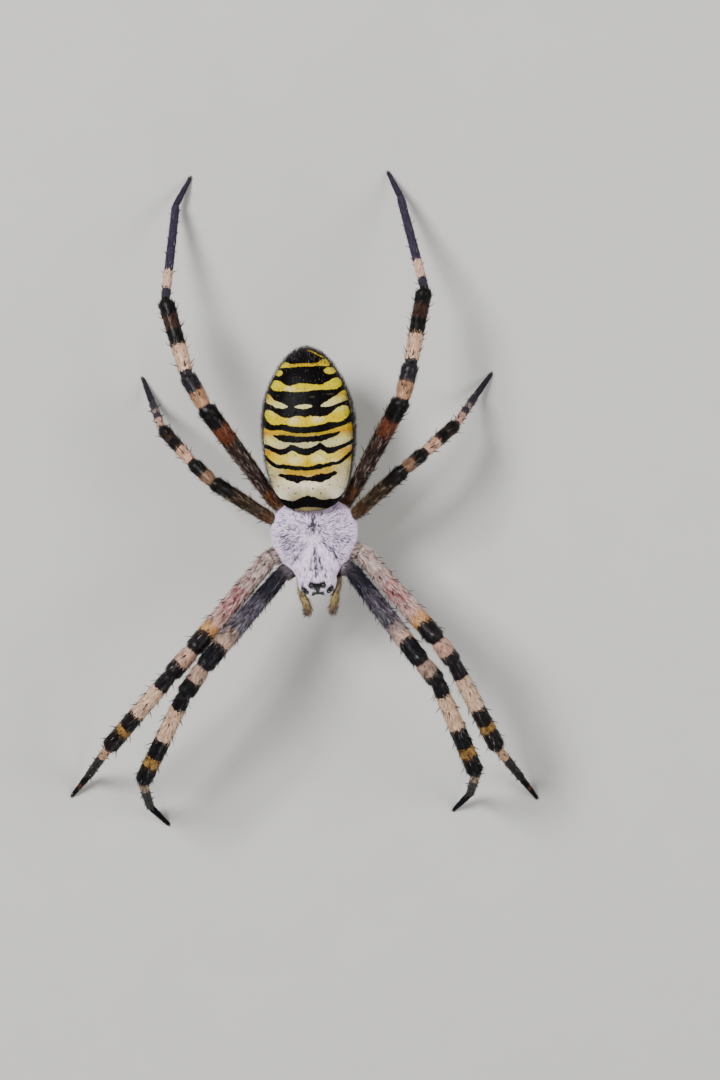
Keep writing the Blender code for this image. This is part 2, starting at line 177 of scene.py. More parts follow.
def abdomen_point(station, angle):
    """Surface of the abdomen, station 0 to 1 from waist to tail, angle round from the +X side."""
    c, s = np.cos(angle), np.sin(angle)
    along = 2 * station - 1
    rear = station > 0.5
    wide = np.where(rear, lobe(along, 1.7, 0.55), lobe(along, 2.0, 0.22))
    high = np.where(rear, lobe(along, 2.2, 0.50), lobe(along, 2.0, 0.24))
    deep = np.where(rear, lobe(along, 2.4, 0.80), lobe(along, 2.0, 0.40))
    lift = np.where(s >= 0, ABDOMEN_RISE * high, ABDOMEN_DROP * deep) * power(s, 0.92)
    shoulder = SHOULDER_LEAN * (1 - np.exp(-np.maximum(lift, 0) / SHOULDER_HEIGHT))
    lean = np.where(s >= 0, shoulder, BELLY_LEAN * lift)
    seam = ABDOMEN_SEAM_REAR + (ABDOMEN_SEAM_FRONT - ABDOMEN_SEAM_REAR) * (1 - station) ** 3
    y = ABDOMEN_LENGTH * station - lean * (1 - station) ** 4
    return stacked(ABDOMEN_HALF_WIDTH * wide * power(c, 0.92), y, seam + lift)


def on_side(side, point):
    return Vector((point[0] if side == "left" else -point[0], point[1], point[2]))


def direction(side, heading, pitch):
    h, p = math.radians(heading), math.radians(pitch)
    return on_side(side, (math.sin(h) * math.cos(p), -math.cos(h) * math.cos(p), math.sin(p)))


def turned(degrees, axis):
    return Matrix.Rotation(math.radians(degrees), 4, axis)


def eye_centre(name, side):
    """Centre of an eye in the shield's frame, and the way that it looks."""
    station, rise, radius = EYES[name]
    angle = math.radians(rise if side == "left" else 180 - rise)
    here = prosoma_point(station, angle)
    along = prosoma_point(station + 0.01, angle) - here
    around = prosoma_point(station, angle + 0.02) - here
    outward = np.cross(along, around)
    outward /= np.linalg.norm(outward)
    return here - outward * radius * EYE_SUNK, outward


BODY = Matrix.Translation((0, 0, BODY_HEIGHT)) @ turned(-BODY_PITCH, "X")
SHIELD = BODY @ turned(CARAPACE_YAW, "Z")
# How far the frame sets the body from there is read off one eye's solid.
EYE_LOW, EYE_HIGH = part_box("eye_rear_middle_left")
SHIFT = (EYE_LOW + EYE_HIGH) / 2 / MM - SHIELD @ Vector(eye_centre("rear_middle", "left")[0])
BODY, SHIELD = (Matrix.Translation(SHIFT) @ matrix for matrix in (BODY, SHIELD))
TAIL = BODY @ Matrix.Translation(ABDOMEN_WAIST) @ turned(ABDOMEN_YAW, "Z") @ turned(ABDOMEN_ROLL, "Y")


def placed(matrix, points):
    m = np.array(matrix)
    return points @ m[:3, :3].T + m[:3, 3]


def leg_joints(side, pair):
    """Coxa root, hip, four joints and tip of a leg, in millimetres in the floor frame."""
    points = [SHIELD @ on_side(side, COXA_ROOT[pair]), SHIELD @ on_side(side, HIP[pair])]
    pose = POSE[side, pair]
    foot_drop = LENGTHS[pair][4] * math.sin(math.radians(-pose[4][1]))
    for (heading, pitch), length in zip(pose, LENGTHS[pair]):
        if pitch is None:
            fall = points[-1].z - foot_drop - SOLE_HEIGHT
            pitch = -math.degrees(math.asin(fall / length))
        points.append(points[-1] + direction(side, heading, pitch) * length)
    return points


def palp_joints(side):
    points = [SHIELD @ on_side(side, PALP_ROOT), SHIELD @ on_side(side, PALP_HIP[side])]
    for heading, pitch, length in PALP_POSE[side]:
        points.append(points[-1] + direction(side, heading, pitch) * length)
    return points


# ---------------------------------------------------------------- meshes

UV_MAP = "OFBake"
UV_EDGE = 0.004  # kept free round the map
TUFT_PATCH = 0.003  # of the map, for one hair
ROOT_SUNK = 0.3  # of a hair's width, under the skin
# Widths along a hair, its sides, and its thickness for its width
HAIR_SHAPE, SCALE_SHAPE = ((0.8, 1.0), 3, 0.65), ((1.0,), 3, 0.35)
SPINE_SHAPE = ((1.0, 0.85, 0.62, 0.35), 5, 1.0)
# Plain coats: number of hairs, straying, length, width, lift of the root in degrees, bend
COATS = {
    "abdomen": (6500, 0.35, (0.16, 0.3), 0.02, (15, 42), 0.12),
    "sternum": (900, 0.3, (0.2, 0.36), 0.022, (12, 35), 0.15),
    "palp": (420, 0.2, (0.2, 0.42), 0.024, (14, 48), 0.1),
    "jaw": (150, 0.25, (0.15, 0.3), 0.02, 35, 0.1),
    "spinneret": (60, 0.3, 0.2, 0.018, 25, 0.1),
}
SEEDS = {
    "abdomen": 11, "shield": 23, "sternum": 29, "leg": 101, "palp": 61, "jaw": 71, "spinneret": 83, "claw": 5,
}


def added(name, data):
    """An object in the scene with its mesh, lamp or camera."""
    thing = bpy.data.objects.new(name, data)
    bpy.context.scene.collection.objects.link(thing)
    return thing


def build(name, points, faces, uvs, marks, look, smooth=True):
    """A mesh piece. points are in millimetres, and faces are arrays of point numbers, a row for each face."""
    mesh = bpy.data.meshes.new(name)
    points[:, 2] = np.maximum(points[:, 2], FLOOR_CLEAR)
    corners = np.concatenate([face.ravel() for face in faces]).astype(np.int32)
    sizes = np.concatenate([np.full(len(face), face.shape[1]) for face in faces])
    starts = np.concatenate([[0], np.cumsum(sizes)[:-1]]).astype(np.int32)
    mesh.vertices.add(len(points))
    mesh.vertices.foreach_set("co", (points * MM).astype(np.float32).ravel())
    mesh.loops.add(len(corners))
    mesh.loops.foreach_set("vertex_index", corners)
    mesh.polygons.add(len(starts))
    mesh.polygons.foreach_set("loop_start", starts)
    mesh.polygons.foreach_set("use_smooth", np.full(len(starts), smooth))
    mesh.update(calc_edges=True)
    layer = mesh.uv_layers.new(name=UV_MAP)
    inside = UV_EDGE + uvs * (1 - 2 * UV_EDGE - TUFT_PATCH)
    layer.data.foreach_set("uv", inside.astype(np.float32).ravel())
    for key, values in marks.items():
        attribute = mesh.attributes.new(key, "FLOAT", "POINT")
        attribute.data.foreach_set("value", values.astype(np.float32))
    mesh.materials.append(look)
    piece = added(name, mesh)
    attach(piece, "root")
    return piece


def unit(vectors):
    return vectors / np.maximum(np.linalg.norm(vectors, axis=-1, keepdims=True), 1e-9)


class Skin:
    """A closed skin laid out as rings of points. marks are numbers per point that its finish reads."""

    def __init__(self, points, **marks):
        self.points = points
        self.marks = {key: np.broadcast_to(value, points.shape[:2]).copy() for key, value in marks.items()}

    def normals(self):
        around = np.roll(self.points, -1, axis=1) - np.roll(self.points, 1, axis=1)
        return unit(np.cross(np.gradient(self.points, axis=0), around))

    def push(self, height):
        """Moves each point out by a height in millimetres."""
        self.points = self.points + self.normals() * np.asarray(height)[..., None]

    def place(self, matrix):
        self.points = placed(matrix, self.points)

    def piece(self, name, look, slot, *nodes):
        rings, columns = self.points.shape[:2]

        def closed(values):
            """Values of all points, with the means of the first and the last ring for the end points."""
            ends = values[[0, -1]].mean(axis=1)
            return np.concatenate([ends[:1], values.reshape(-1, *values.shape[2:]), ends[1:]])

        def faces_of(*corners):
            """Point numbers and map places of faces, from the ring and the column of each corner."""
            ring, column = (stacked(*part) for part in zip(*corners))
            number = np.clip(1 + ring * columns + column % columns, 0, 1 + rings * columns)
            place = stacked(column / columns, (ring + 1) / (rings + 1))
            return number.astype(int).reshape(-1, len(corners)), place.reshape(-1, 2)

        ring, column = np.ogrid[: rings - 1, :columns]
        side = np.arange(columns)
        faces, uvs = zip(
            faces_of((ring, column), (ring + 1, column), (ring + 1, column + 1), (ring, column + 1)),
            faces_of((-1, side + 0.5), (0, side), (0, side + 1)),
            faces_of((rings, side + 0.5), (rings - 1, side + 1), (rings - 1, side)),
        )
        marks = {key: closed(value) for key, value in self.marks.items()}
        made = build(name, closed(self.points), faces, np.concatenate(uvs), marks, look)
        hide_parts(*nodes)

    def scatter(self, count, rng, density):
        """Roots of hairs over the skin: place, normal, way along, map place and marks of each."""
        rings, columns = self.points.shape[:2]
        along = np.gradient(self.points, axis=0)
        across = np.roll(self.points, -1, axis=1) - self.points
        weight = (np.linalg.norm(np.cross(along, across), axis=-1) * density)[:-1].ravel()
        chosen = rng.choice(weight.size, count, p=weight / weight.sum())
        i, j = np.divmod(chosen, columns)
        a, b = rng.random(count), rng.random(count)
        k = (j + 1) % columns

        def blended(values):
            spread = (count,) + (1,) * (values.ndim - 2)
            p, q = a.reshape(spread), b.reshape(spread)
            near = values[i, j] * (1 - q) + values[i, k] * q
            far = values[i + 1, j] * (1 - q) + values[i + 1, k] * q
            return near * (1 - p) + far * p

        return {
            "root": blended(self.points),
            "normal": unit(blended(self.normals())),
            "along": unit(blended(along)),
            "uv": np.stack([(j + b) / columns, (i + a + 1) / (rings + 1)], axis=-1),
            "turn": (j + b) / columns,
            "marks": {key: blended(value) for key, value in self.marks.items()},
        }


def kept(roots, chosen):
    """The roots that a mask picks."""
    picked = {key: value[chosen] for key, value in roots.items() if key != "marks"}
    return picked | {"marks": {key: value[chosen] for key, value in roots["marks"].items()}}


def seeded(kind, index=0):
    return np.random.default_rng(SEEDS[kind] + index)


def clumped(across, along, rng):
    """One random value for all hairs of a clump, given places in clump widths and clump lengths."""
    lanes, cells = 401, 97
    table = rng.random((lanes, cells))
    lane = np.floor(across).astype(int) % lanes
    cell = np.floor(along + rng.random(lanes)[lane]).astype(int) % cells
    return table[lane, cell]


def hairs(name, roots, lie, length, width, lift, bend, look, rng, shape=HAIR_SHAPE):
    """One joined mesh of tapered hairs. lift is the root's rise in degrees, and bend lays the tip down."""
    taper, sides, flat = shape
    count, rows = len(roots["root"]), len(taper)
    normal = roots["normal"]
    lie = unit(lie - normal * (lie * normal).sum(axis=-1, keepdims=True))
    side = np.cross(lie, normal)
    spread = (np.broadcast_to(value, count)[:, None] for value in (length, width, np.radians(lift)))
    length, width, rise = spread
    share = np.arange(rows + 1) / rows
    out = length * np.cos(rise) * share
    up = length * (np.sin(rise) * share - bend * share**2) - width * ROOT_SUNK
    spine = roots["root"][:, None] + lie[:, None] * out[..., None] + normal[:, None] * up[..., None]
    turn = (math.pi / 2 - 2 * math.pi * np.arange(sides) / sides)[:, None]
    rim = side[:, None] * np.cos(turn) + flat * normal[:, None] * np.sin(turn)
    half = (width / 2 * np.array(taper))[:, :, None, None]
    rings = spine[:, :-1, None] + rim[:, None] * half
    points = np.concatenate([rings.reshape(count, -1, 3), spine[:, -1:]], axis=1)
    corners = []  # ring and column of each
    for row in range(rows - 1):
        for m in range(sides):
            corners += [(row, m), (row, m + 1), (row + 1, m + 1), (row, m), (row + 1, m + 1), (row + 1, m)]
    for m in range(sides):
        corners += [(rows - 1, m), (rows - 1, m + 1), (rows, m + 0.5)]
    for m in range(1, sides - 1):
        corners += [(0, 0), (0, m + 1), (0, m)]
    row, column = np.array(corners).T
    template = np.minimum(row * sides + column % sides, rows * sides).astype(int)
    each = points.shape[1]
    faces = (template + (np.arange(count) * each)[:, None]).reshape(-1, 3)
    uvs = roots["uv"][:, None] + stacked(column / sides, row / rows) * TUFT_PATCH
    marks = {key: np.repeat(value, each) for key, value in roots["marks"].items()}
    marks["strand"] = np.repeat(rng.random(count), each)
    marks["tip"] = np.tile(np.concatenate([np.repeat(share[:-1], sides), [1.0]]), count)
    smooth = shape is not SCALE_SHAPE  # a scale shines as flat faces do
    build(name, points.reshape(-1, 3), [faces], uvs.reshape(-1, 2), marks, look, smooth)


def bristles(name, kind, skin, rng, density, look, way=None, grown=None):
    """A plain coat. grown turns a root's marks into a share of the length and degrees of extra lift."""
    count, stray, length, width, lift, bend = COATS[kind]
    roots = skin.scatter(count, rng, density)
    lie = (roots["along"] if way is None else way) + stray * rng.normal(size=(count, 3))
    length, lift = (rng.uniform(*span, count) if isinstance(span, tuple) else span for span in (length, lift))
    share, extra = grown(roots["marks"]) if grown else (1, 0)
    hairs(name, roots, lie, length * share, width, lift + extra, bend, look, rng)


# ---------------------------------------------------------------- finishes

USUAL = {"Mix": {"data_type": "RGBA"}}  # settings of a kind of node where nothing else is said
READ = {"TexCoord": "Object", "Attribute": "Fac"}  # the output in use, where it isn't the first


def hexed(code):
    """A linear colour from an sRGB hex code."""
    channels = [int(code[i : i + 2], 16) / 255 for i in (0, 2, 4)]
    linear = [c / 12.92 if c <= 0.04045 else ((c + 0.055) / 1.055) ** 2.4 for c in channels]
    return (*linear, 1.0)


def per(size):
    """Scale of a pattern whose grain is that many millimetres."""
    return 1 / (size * MM)


class Finish:
    """A material with one Principled shader, whose constants are set straight on its sockets."""

    def __init__(self, name, **constants):
        self.look = bpy.data.materials.new(name)
        self.look.use_nodes = True
        self.tree = self.look.node_tree
        self.shader = self.tree.nodes["Principled BSDF"]
        for key, value in constants.items():
            socket = key.replace("_", " ").title().replace("Ior", "IOR")
            self.shader.inputs[socket].default_value = value
        self.place = self.put("TexCoord")

    def put(self, kind, *inputs, stops=(), named=None, **settings):
        """Adds a node. Its open sockets take the inputs in order: a socket, number, hex colour or "@mark"."""
        made = self.tree.nodes.new("ShaderNode" + kind)
        for key, value in {**USUAL.get(kind, {}), **settings}.items():
            setattr(made, key, value)
        for i, (at, code) in enumerate(stops):
            elements = made.color_ramp.elements
            element = elements[i] if i < 2 else elements.new(1.0)
            element.position, element.color = at, hexed(code)
        pairs = list(zip((socket for socket in made.inputs if socket.enabled), inputs))
        for socket, value in pairs + [(made.inputs[key], value) for key, value in (named or {}).items()]:
            if isinstance(value, str):
                mark = value.startswith("@")
                value = self.put("Attribute", attribute_name=value[1:]) if mark else hexed(value)
            if isinstance(value, bpy.types.NodeSocket):
                self.tree.links.new(value, socket)
            else:
                socket.default_value = value
        return made.outputs[READ[kind]] if kind in READ else next(out for out in made.outputs if out.enabled)

    def wear(self, **sockets):
        """Links what varies over the surface to the shader."""
        for key, value in sockets.items():
            self.tree.links.new(value, self.shader.inputs[key.replace("_", " ")])
        return self.look


# Ground colours of the back by its length in millimetres from the front: on the midline, and at the sides
# Both tables darken to olive-grey over the first millimetre: painted shade on the front edge, where the back
# turns down towards the shield.
BACK_MIDDLE = (
    (0.0, "4a473b"), (0.4, "5c5745"), (1.0, "8f8868"), (1.7, "dacdb4"), (2.1, "cfc4a0"), (2.4, "a88410"),
    (2.7, "9c7c18"), (3.2, "b89e00"), (3.6, "c2b040"), (4.2, "aaa478"), (4.6, "aaa472"), (5.0, "94790f"),
    (5.7, "bcaa00"), (6.2, "bca000"), (6.8, "bfb986"), (8.0, "b9a500"), (9.2, "bca800"), (9.6, "ac8410"),
)
BACK_SIDES = (
    (0.0, "4a473b"), (1.0, "dbd2b8"), (2.1, "b8ad88"), (2.6, "b8ae80"), (3.1, "c0b478"), (3.5, "c6a500"),
    (4.0, "c08804"), (4.4, "c9bd86"), (4.8, "c8be68"), (5.2, "bc8410"), (5.7, "c6ac00"), (6.4, "c8b800"),
    (7.0, "c4be6a"), (7.6, "b89a20"), (8.2, "c6ba00"), (9.1, "c6b230"), (9.7, "c6ae00"),
)
BACK_LENGTH = 10.9


def cuticle_of_abdomen():
    """Thin stretched cuticle over pale pigment: satin, opaque, with black cross bands and dusky flanks."""
    f = Finish("satin_banded_abdomen_cuticle", ior=1.5, specular_ior_level=0.04)
    ragged, cloud, mottled, fine = (
        f.put("TexNoise", f.place, per(size), detail)
        for size, detail in ((0.17, 3.0), (0.9, 2.0), (0.55, 3.0), (0.06, 2.0))
    )
    tables = [
        f.put("ValToRGB", "@along", stops=[(at / BACK_LENGTH, code) for at, code in table])
        for table in (BACK_MIDDLE, BACK_SIDES)
    ]
    ground = f.put("Mix", f.put("MapRange", "@aside", 0.45, 0.85), *tables)
    milky = f.put("MapRange", cloud, 0.54, 0.75, 0.0, 0.16)
    # pigment cells of about 0.09 mm, drawn as a faint net
    cells = f.put("TexVoronoi", f.place, per(0.09), feature="DISTANCE_TO_EDGE")
    net = f.put("MapRange", cells, 0.0, 0.12, 0.1, 0.0)
    stain = f.put("Math", "@stain", cloud, operation="MULTIPLY")
    stain = f.put("MapRange", stain, 0.0, 0.6, 0.0, 0.6)
    layers = (
        (milky, "c8bc94"), ("@milk", "d2c494"), ("@midline", "a07c08"), (net, "7a5c0c"), (stain, "8a7c48"),
    )
    for share, code in layers:
        ground = f.put("Mix", share, ground, code)

    def edged(mark, fray, softness=0.02):
        """1 where a mark's distance is positive, with an edge frayed by so many millimetres."""
        push = f.put("MapRange", ragged, 0.25, 0.75, -fray, fray)
        total = f.put("Math", mark, push, operation="ADD")
        return f.put("MapRange", total, -softness, softness)

    flank = f.put("Mix", f.put("MapRange", mottled, 0.53, 0.62, 0.0, 0.75), "1d1714", "9b8a52")
    belly = f.put("Mix", edged("@stripe", 0.05), "1c1613", "d9c766")
    under = f.put("Mix", edged("@belly", 0.2, 0.25), flank, belly)
    black = f.put("Mix", "@fleck", "070506", "3b3726")
    back = f.put("Mix", edged("@band", 0.04), ground, black)
    colour = f.put("Mix", edged("@back", 0.06), under, back)
    relief = f.put("Math", cells, 0.5, fine, operation="MULTIPLY_ADD")
    shine = f.put("MapRange", fine, 0.3, 0.7, 0.36, 0.52)
    normal = f.put("Bump", 0.6, 0.006 * MM, named={"Height": relief})
    return f.wear(Base_Color=colour, Roughness=shine, Normal=normal)


def cuticle_of_shield():
    """Hard slate-grey shell of head and thorax, dull, seen between the silver hairs; black round the eyes."""
    f = Finish("dull_slate_shield_cuticle", ior=1.54, specular_ior_level=0.25)
    cloud = f.put("TexNoise", f.place, per(0.5), 3.0)
    shell = f.put("Mix", cloud, "16141b", "3d3945")
    bright = f.put("MapRange", "@silver", 0.5, 1.1, 0.0, 0.3)
    for share, code in ((bright, "b9b2c2"), ("@face", "060507")):
        shell = f.put("Mix", share, shell, code)
    breast = f.put("Mix", cloud, "171311", "3a2a20")
    edge = f.put("Math", cloud, 0.3, "@stripe", operation="MULTIPLY_ADD")
    breast = f.put("Mix", f.put("MapRange", edge, 0.12, 0.2), breast, "d8c46c")
    colour = f.put("Mix", "@under", shell, breast)
    shine = f.put("MapRange", "@face", 0.0, 1.0, 0.6, 0.42)
    pores = f.put("TexVoronoi", f.place, per(0.07))
    normal = f.put("Bump", 0.5, 0.01 * MM, named={"Height": pores})
    return f.wear(Base_Color=colour, Roughness=shine, Normal=normal)


# Where each colour ring begins, from the coxa out in segments and shares of them: coxa 0, femur 1, and so on
BLACK, SOOT = "060507", "0d0b10"
LEG_RINGS = {
    1: (
        (0.0, "2a2329"), (0.72, "6e646b"), (1.0, "2c2933"), (1.26, "564e5b"), (1.46, "5e565e"),
        (1.60, "c8a58e"), (1.78, SOOT), (2.0, "a88a78"), (2.45, BLACK), (3.12, "d6b092"), (3.48, BLACK),
        (3.68, "9a7238"), (3.78, BLACK), (4.0, "a48868"), (4.26, "100e10"), (5.0, SOOT),
    ),
    2: (
        (0.0, "3a2e33"), (0.72, "b39d98"), (1.0, "d0b6ae"), (1.34, "c48888"), (1.62, "d8a89a"),
        (1.72, "c4925c"), (1.81, SOOT), (2.0, "c49a84"), (2.50, SOOT), (3.15, "dab698"), (3.50, BLACK),
        (3.68, "9a7238"), (3.76, BLACK), (4.0, "c89c78"), (4.28, "120f11"), (5.0, SOOT), (5.38, "4a2f22"),
        (5.55, SOOT),
    ),
    3: (
        (0.0, "3b2c22"), (0.72, "5d4a38"), (1.0, "553820"), (1.24, "35291c"), (1.65, BLACK),
        (2.0, "80604a"), (2.40, BLACK), (3.02, "cfa288"), (3.36, BLACK), (3.62, "3a2419"), (3.72, BLACK),
        (4.0, "cda08c"), (4.30, "3a323f"), (4.50, "a08a86"), (4.62, "3a323f"), (5.0, "2e2a33"),
    ),
    4: (
        (0.0, "3b2c22"), (0.72, "6b4a30"), (1.0, "6b3f1e"), (1.14, "332420"), (1.64, "6a3822"),
        (1.80, BLACK), (2.0, "a67c5c"), (2.45, "1c1a21"), (3.04, "d9b194"), (3.36, BLACK),
        (3.58, "3b241b"), (3.76, BLACK), (4.0, "35303c"), (4.10, "d9b09a"), (4.28, "3a3346"),
        (5.0, "342e3e"),
    ),
}
PALP_RINGS = (
    (0.0, "5a4a34"), (1.0, "8c7c5c"), (2.0, "8e7c50"), (2.6, "85703e"), (3.0, "804e18"), (3.6, "5e3410"),
)
LEG_PARTS, PALP_RING_PARTS = 6, 4  # with the coxa
# For each pair: dark of its streaks, stains of its femur, pale hairs, and their share at hip and knee
LEG_TONES = {
    1: ("0e0c12", "15131a", "8e8794", 0.05, 0.5),
    2: ("241618", "9c4248", "e2d0c6", 0.42, 0.46),
    3: ("1c130d", "45301c", "94836a", 0.2, 0.24),
    4: ("160e0c", "38221a", "9b8a80", 0.24, 0.3),
}


def ringed(f, rings, parts, fray):
    """The rings' colour, with edges frayed along the limb by a share of a segment."""
    ragged = f.put("TexNoise", f.place, per(0.12), 2.0)
    push = f.put("MapRange", ragged, 0.3, 0.7, -fray, fray)
    share = f.put("Math", f.put("Math", "@reach", push, operation="ADD"), 1 / parts, operation="MULTIPLY")
    ramp = f.put("ValToRGB", share, stops=[(at / parts, code) for at, code in rings])
    ramp.node.color_ramp.interpolation = "CONSTANT"
    return ramp


def streaked(f, long, wide):
    """Noise drawn out along the limb, with grains of that length and width in millimetres."""
    scaled = (
        f.put("Math", mark, 1 / size, operation="MULTIPLY") for mark, size in (("@run", long), ("@arc", wide))
    )
    return f.put("TexNoise", f.put("CombineXYZ", *scaled), 1.0, 2.0)


def grained(f):
    """A number for each hair, most of which it shares with its clump."""
    return f.put("Mix", 0.7, "@strand", "@clump", data_type="FLOAT")


def clouded(name, grain, detail, dark, pale, **constants):
    """A finish that wavers between two colours, with a grain in millimetres."""
    f = Finish(name, **constants)
    cloud = f.put("TexNoise", f.place, per(grain), detail)
    return f.wear(Base_Color=f.put("Mix", cloud, dark, pale))


def cuticle_of_leg(pair):
    """Hard satin leg cuticle in rings, streaked along the femur and dotted dark where spines stand."""
    f = Finish(f"satin_leg_cuticle_pair_{pair}", ior=1.54)
    deep, tint, *_ = LEG_TONES[pair]
    colour = ringed(f, LEG_RINGS[pair], LEG_PARTS, 0.02)
    streaks, broad = streaked(f, 0.5, 0.045), streaked(f, 1.3, 0.3)
    dim = f.put("MapRange", streaks, 0.4, 0.58, 0.0, 0.75)
    stain = f.put("MapRange", broad, 0.52, 0.66, 0.0, 0.75)
    dim = f.put("Math", dim, f.put("MapRange", "@reach", 1.7, 1.8, 1.0, 0.5), operation="MULTIPLY")
    for limits in ((1.68, 1.76, 1.0, 0.0), (1.0, 1.1, 0.0, 1.0)):
        stain = f.put("Math", stain, f.put("MapRange", "@reach", *limits), operation="MULTIPLY")
    # spine sockets, about 0.11 mm wide and 0.6 mm apart
    dots = f.put("TexVoronoi", f.place, per(0.6), named={"Randomness": 0.8})
    dots = f.put("MapRange", dots, 0.09, 0.12, 0.85, 0.0)
    for share, code in ((dim, deep), (stain, tint), (dots, "1a1216"), ("@joint", "241a18")):
        colour = f.put("Mix", share, colour, code)
    shine = f.put("MapRange", streaks, 0.3, 0.7, 0.32, 0.52)
    gloss = f.put("MapRange", "@reach", 3.9, 4.2, 0.18, 0.03)
    normal = f.put("Bump", 0.5, 0.012 * MM, named={"Height": streaks})
    return f.wear(Base_Color=colour, Roughness=shine, Specular_IOR_Level=gloss, Normal=normal)


def setae_of_leg(pair):
    """Fine setae along the legs: silver-grey over the femora, otherwise near the colour of their ring."""
    f = Finish(f"fine_leg_setae_pair_{pair}", roughness=0.5, ior=1.54, specular_ior_level=0.06)
    deep, _, pale, hip, knee = LEG_TONES[pair]
    colour = ringed(f, LEG_RINGS[pair], LEG_PARTS, 0.03)
    grain = grained(f)
    shade = f.put("MapRange", grain, 0.42, 0.62, 0.0, 0.8)
    share = f.put("MapRange", "@reach", 1.1, 1.6, hip, knee)
    femur = f.put("MapRange", "@reach", 1.66, 1.82, 1.0, 0.12)
    share = f.put("Math", share, femur, operation="MULTIPLY")
    silver = f.put("Math", grain, share, operation="LESS_THAN")
    for share, code in ((shade, deep), (silver, pale)):
        colour = f.put("Mix", share, colour, code)
    return f.wear(Base_Color=colour)


def silver_setae():
    """Flat scale-like hairs of the shield, white with a lilac cast, a few of them grey."""
    f = Finish("silver_white_shield_setae", roughness=0.5, ior=1.54, specular_ior_level=0.3)
    share = f.put("Math", "@silver", 0.5, grained(f), operation="MULTIPLY_ADD")
    share = f.put("MapRange", share, 0.2, 1.2)
    stops = ((0.0, "0c0b0f"), (0.27, "221f29"), (0.38, "8f80a2"), (0.54, "dcc6ee"), (0.8, "feecff"))
    return f.wear(Base_Color=f.put("ValToRGB", share, stops=stops))


def plain_setae(name, dark, pale, share):
    """Stiff hairs of one colour, with a share of paler ones."""
    f = Finish(name, roughness=0.45, ior=1.54, specular_ior_level=0.4)
    paler = f.put("Math", "@strand", share, operation="LESS_THAN")
    return f.wear(Base_Color=f.put("Mix", paler, dark, pale))


def horn(name, root, tip, roughness):
    """Solid horn of spines, claws and fangs: dark, smooth and a little glossy, another tone at the tip."""
    f = Finish(name, roughness=roughness, ior=1.56, specular_ior_level=0.5)
    grain = f.put("TexNoise", f.place, per(0.05))
    share = f.put("Math", grain, 0.2, "@tip", operation="MULTIPLY_ADD")
    return f.wear(Base_Color=f.put("Mix", share, root, tip))


def cuticle_of_palp():
    """Thin amber cuticle that lets some light through, darker to orange at the tips."""
    f = Finish("translucent_amber_palp_cuticle", ior=1.54, subsurface_weight=0.04, subsurface_scale=0.0002)
    colour = ringed(f, PALP_RINGS, PALP_RING_PARTS, 0.05)
    streaks = streaked(f, 0.6, 0.08)
    dim = f.put("MapRange", streaks, 0.5, 0.68, 0.0, 0.5)
    for share, code in ((dim, "4a2d18"), ("@joint", "6b3f1c")):
        colour = f.put("Mix", share, colour, code)
    return f.wear(Base_Color=colour, Roughness=f.put("MapRange", streaks, 0.3, 0.7, 0.3, 0.45))


def cuticle_of_jaw():
    """Thick glossy brown cuticle of the jaws and mouth, darker to the ends."""
    f = Finish("glossy_brown_jaw_cuticle", ior=1.56, specular_ior_level=0.5)
    cloud = f.put("TexNoise", f.place, per(0.3), 3.0)
    shade = f.put("Math", cloud, 0.5, "@along", operation="MULTIPLY_ADD")
    colour = f.put("ValToRGB", shade, stops=((0.2, "a87a3c"), (0.6, "6b4020"), (1.0, "2a1610")))
    return f.wear(Base_Color=colour, Roughness=f.put("MapRange", cloud, 0.3, 0.7, 0.24, 0.4))


def cuticle_of_spinneret():
    """Satin brown cuticle of the spinnerets, paler to their tips."""
    f = Finish("satin_brown_spinneret_cuticle", roughness=0.42, ior=1.54)
    cloud = f.put("TexNoise", f.place, per(0.12), 3.0)
    share = f.put("Math", cloud, 0.4, "@reach", operation="MULTIPLY_ADD")
    share = f.put("MapRange", share, 0.2, 2.2)
    colour = f.put("ValToRGB", share, stops=((0.0, "3a2418"), (0.7, "7a4e2a"), (1.0, "b98a50")))
    return f.wear(Base_Color=colour)


# ---------------------------------------------------------------- abdomen

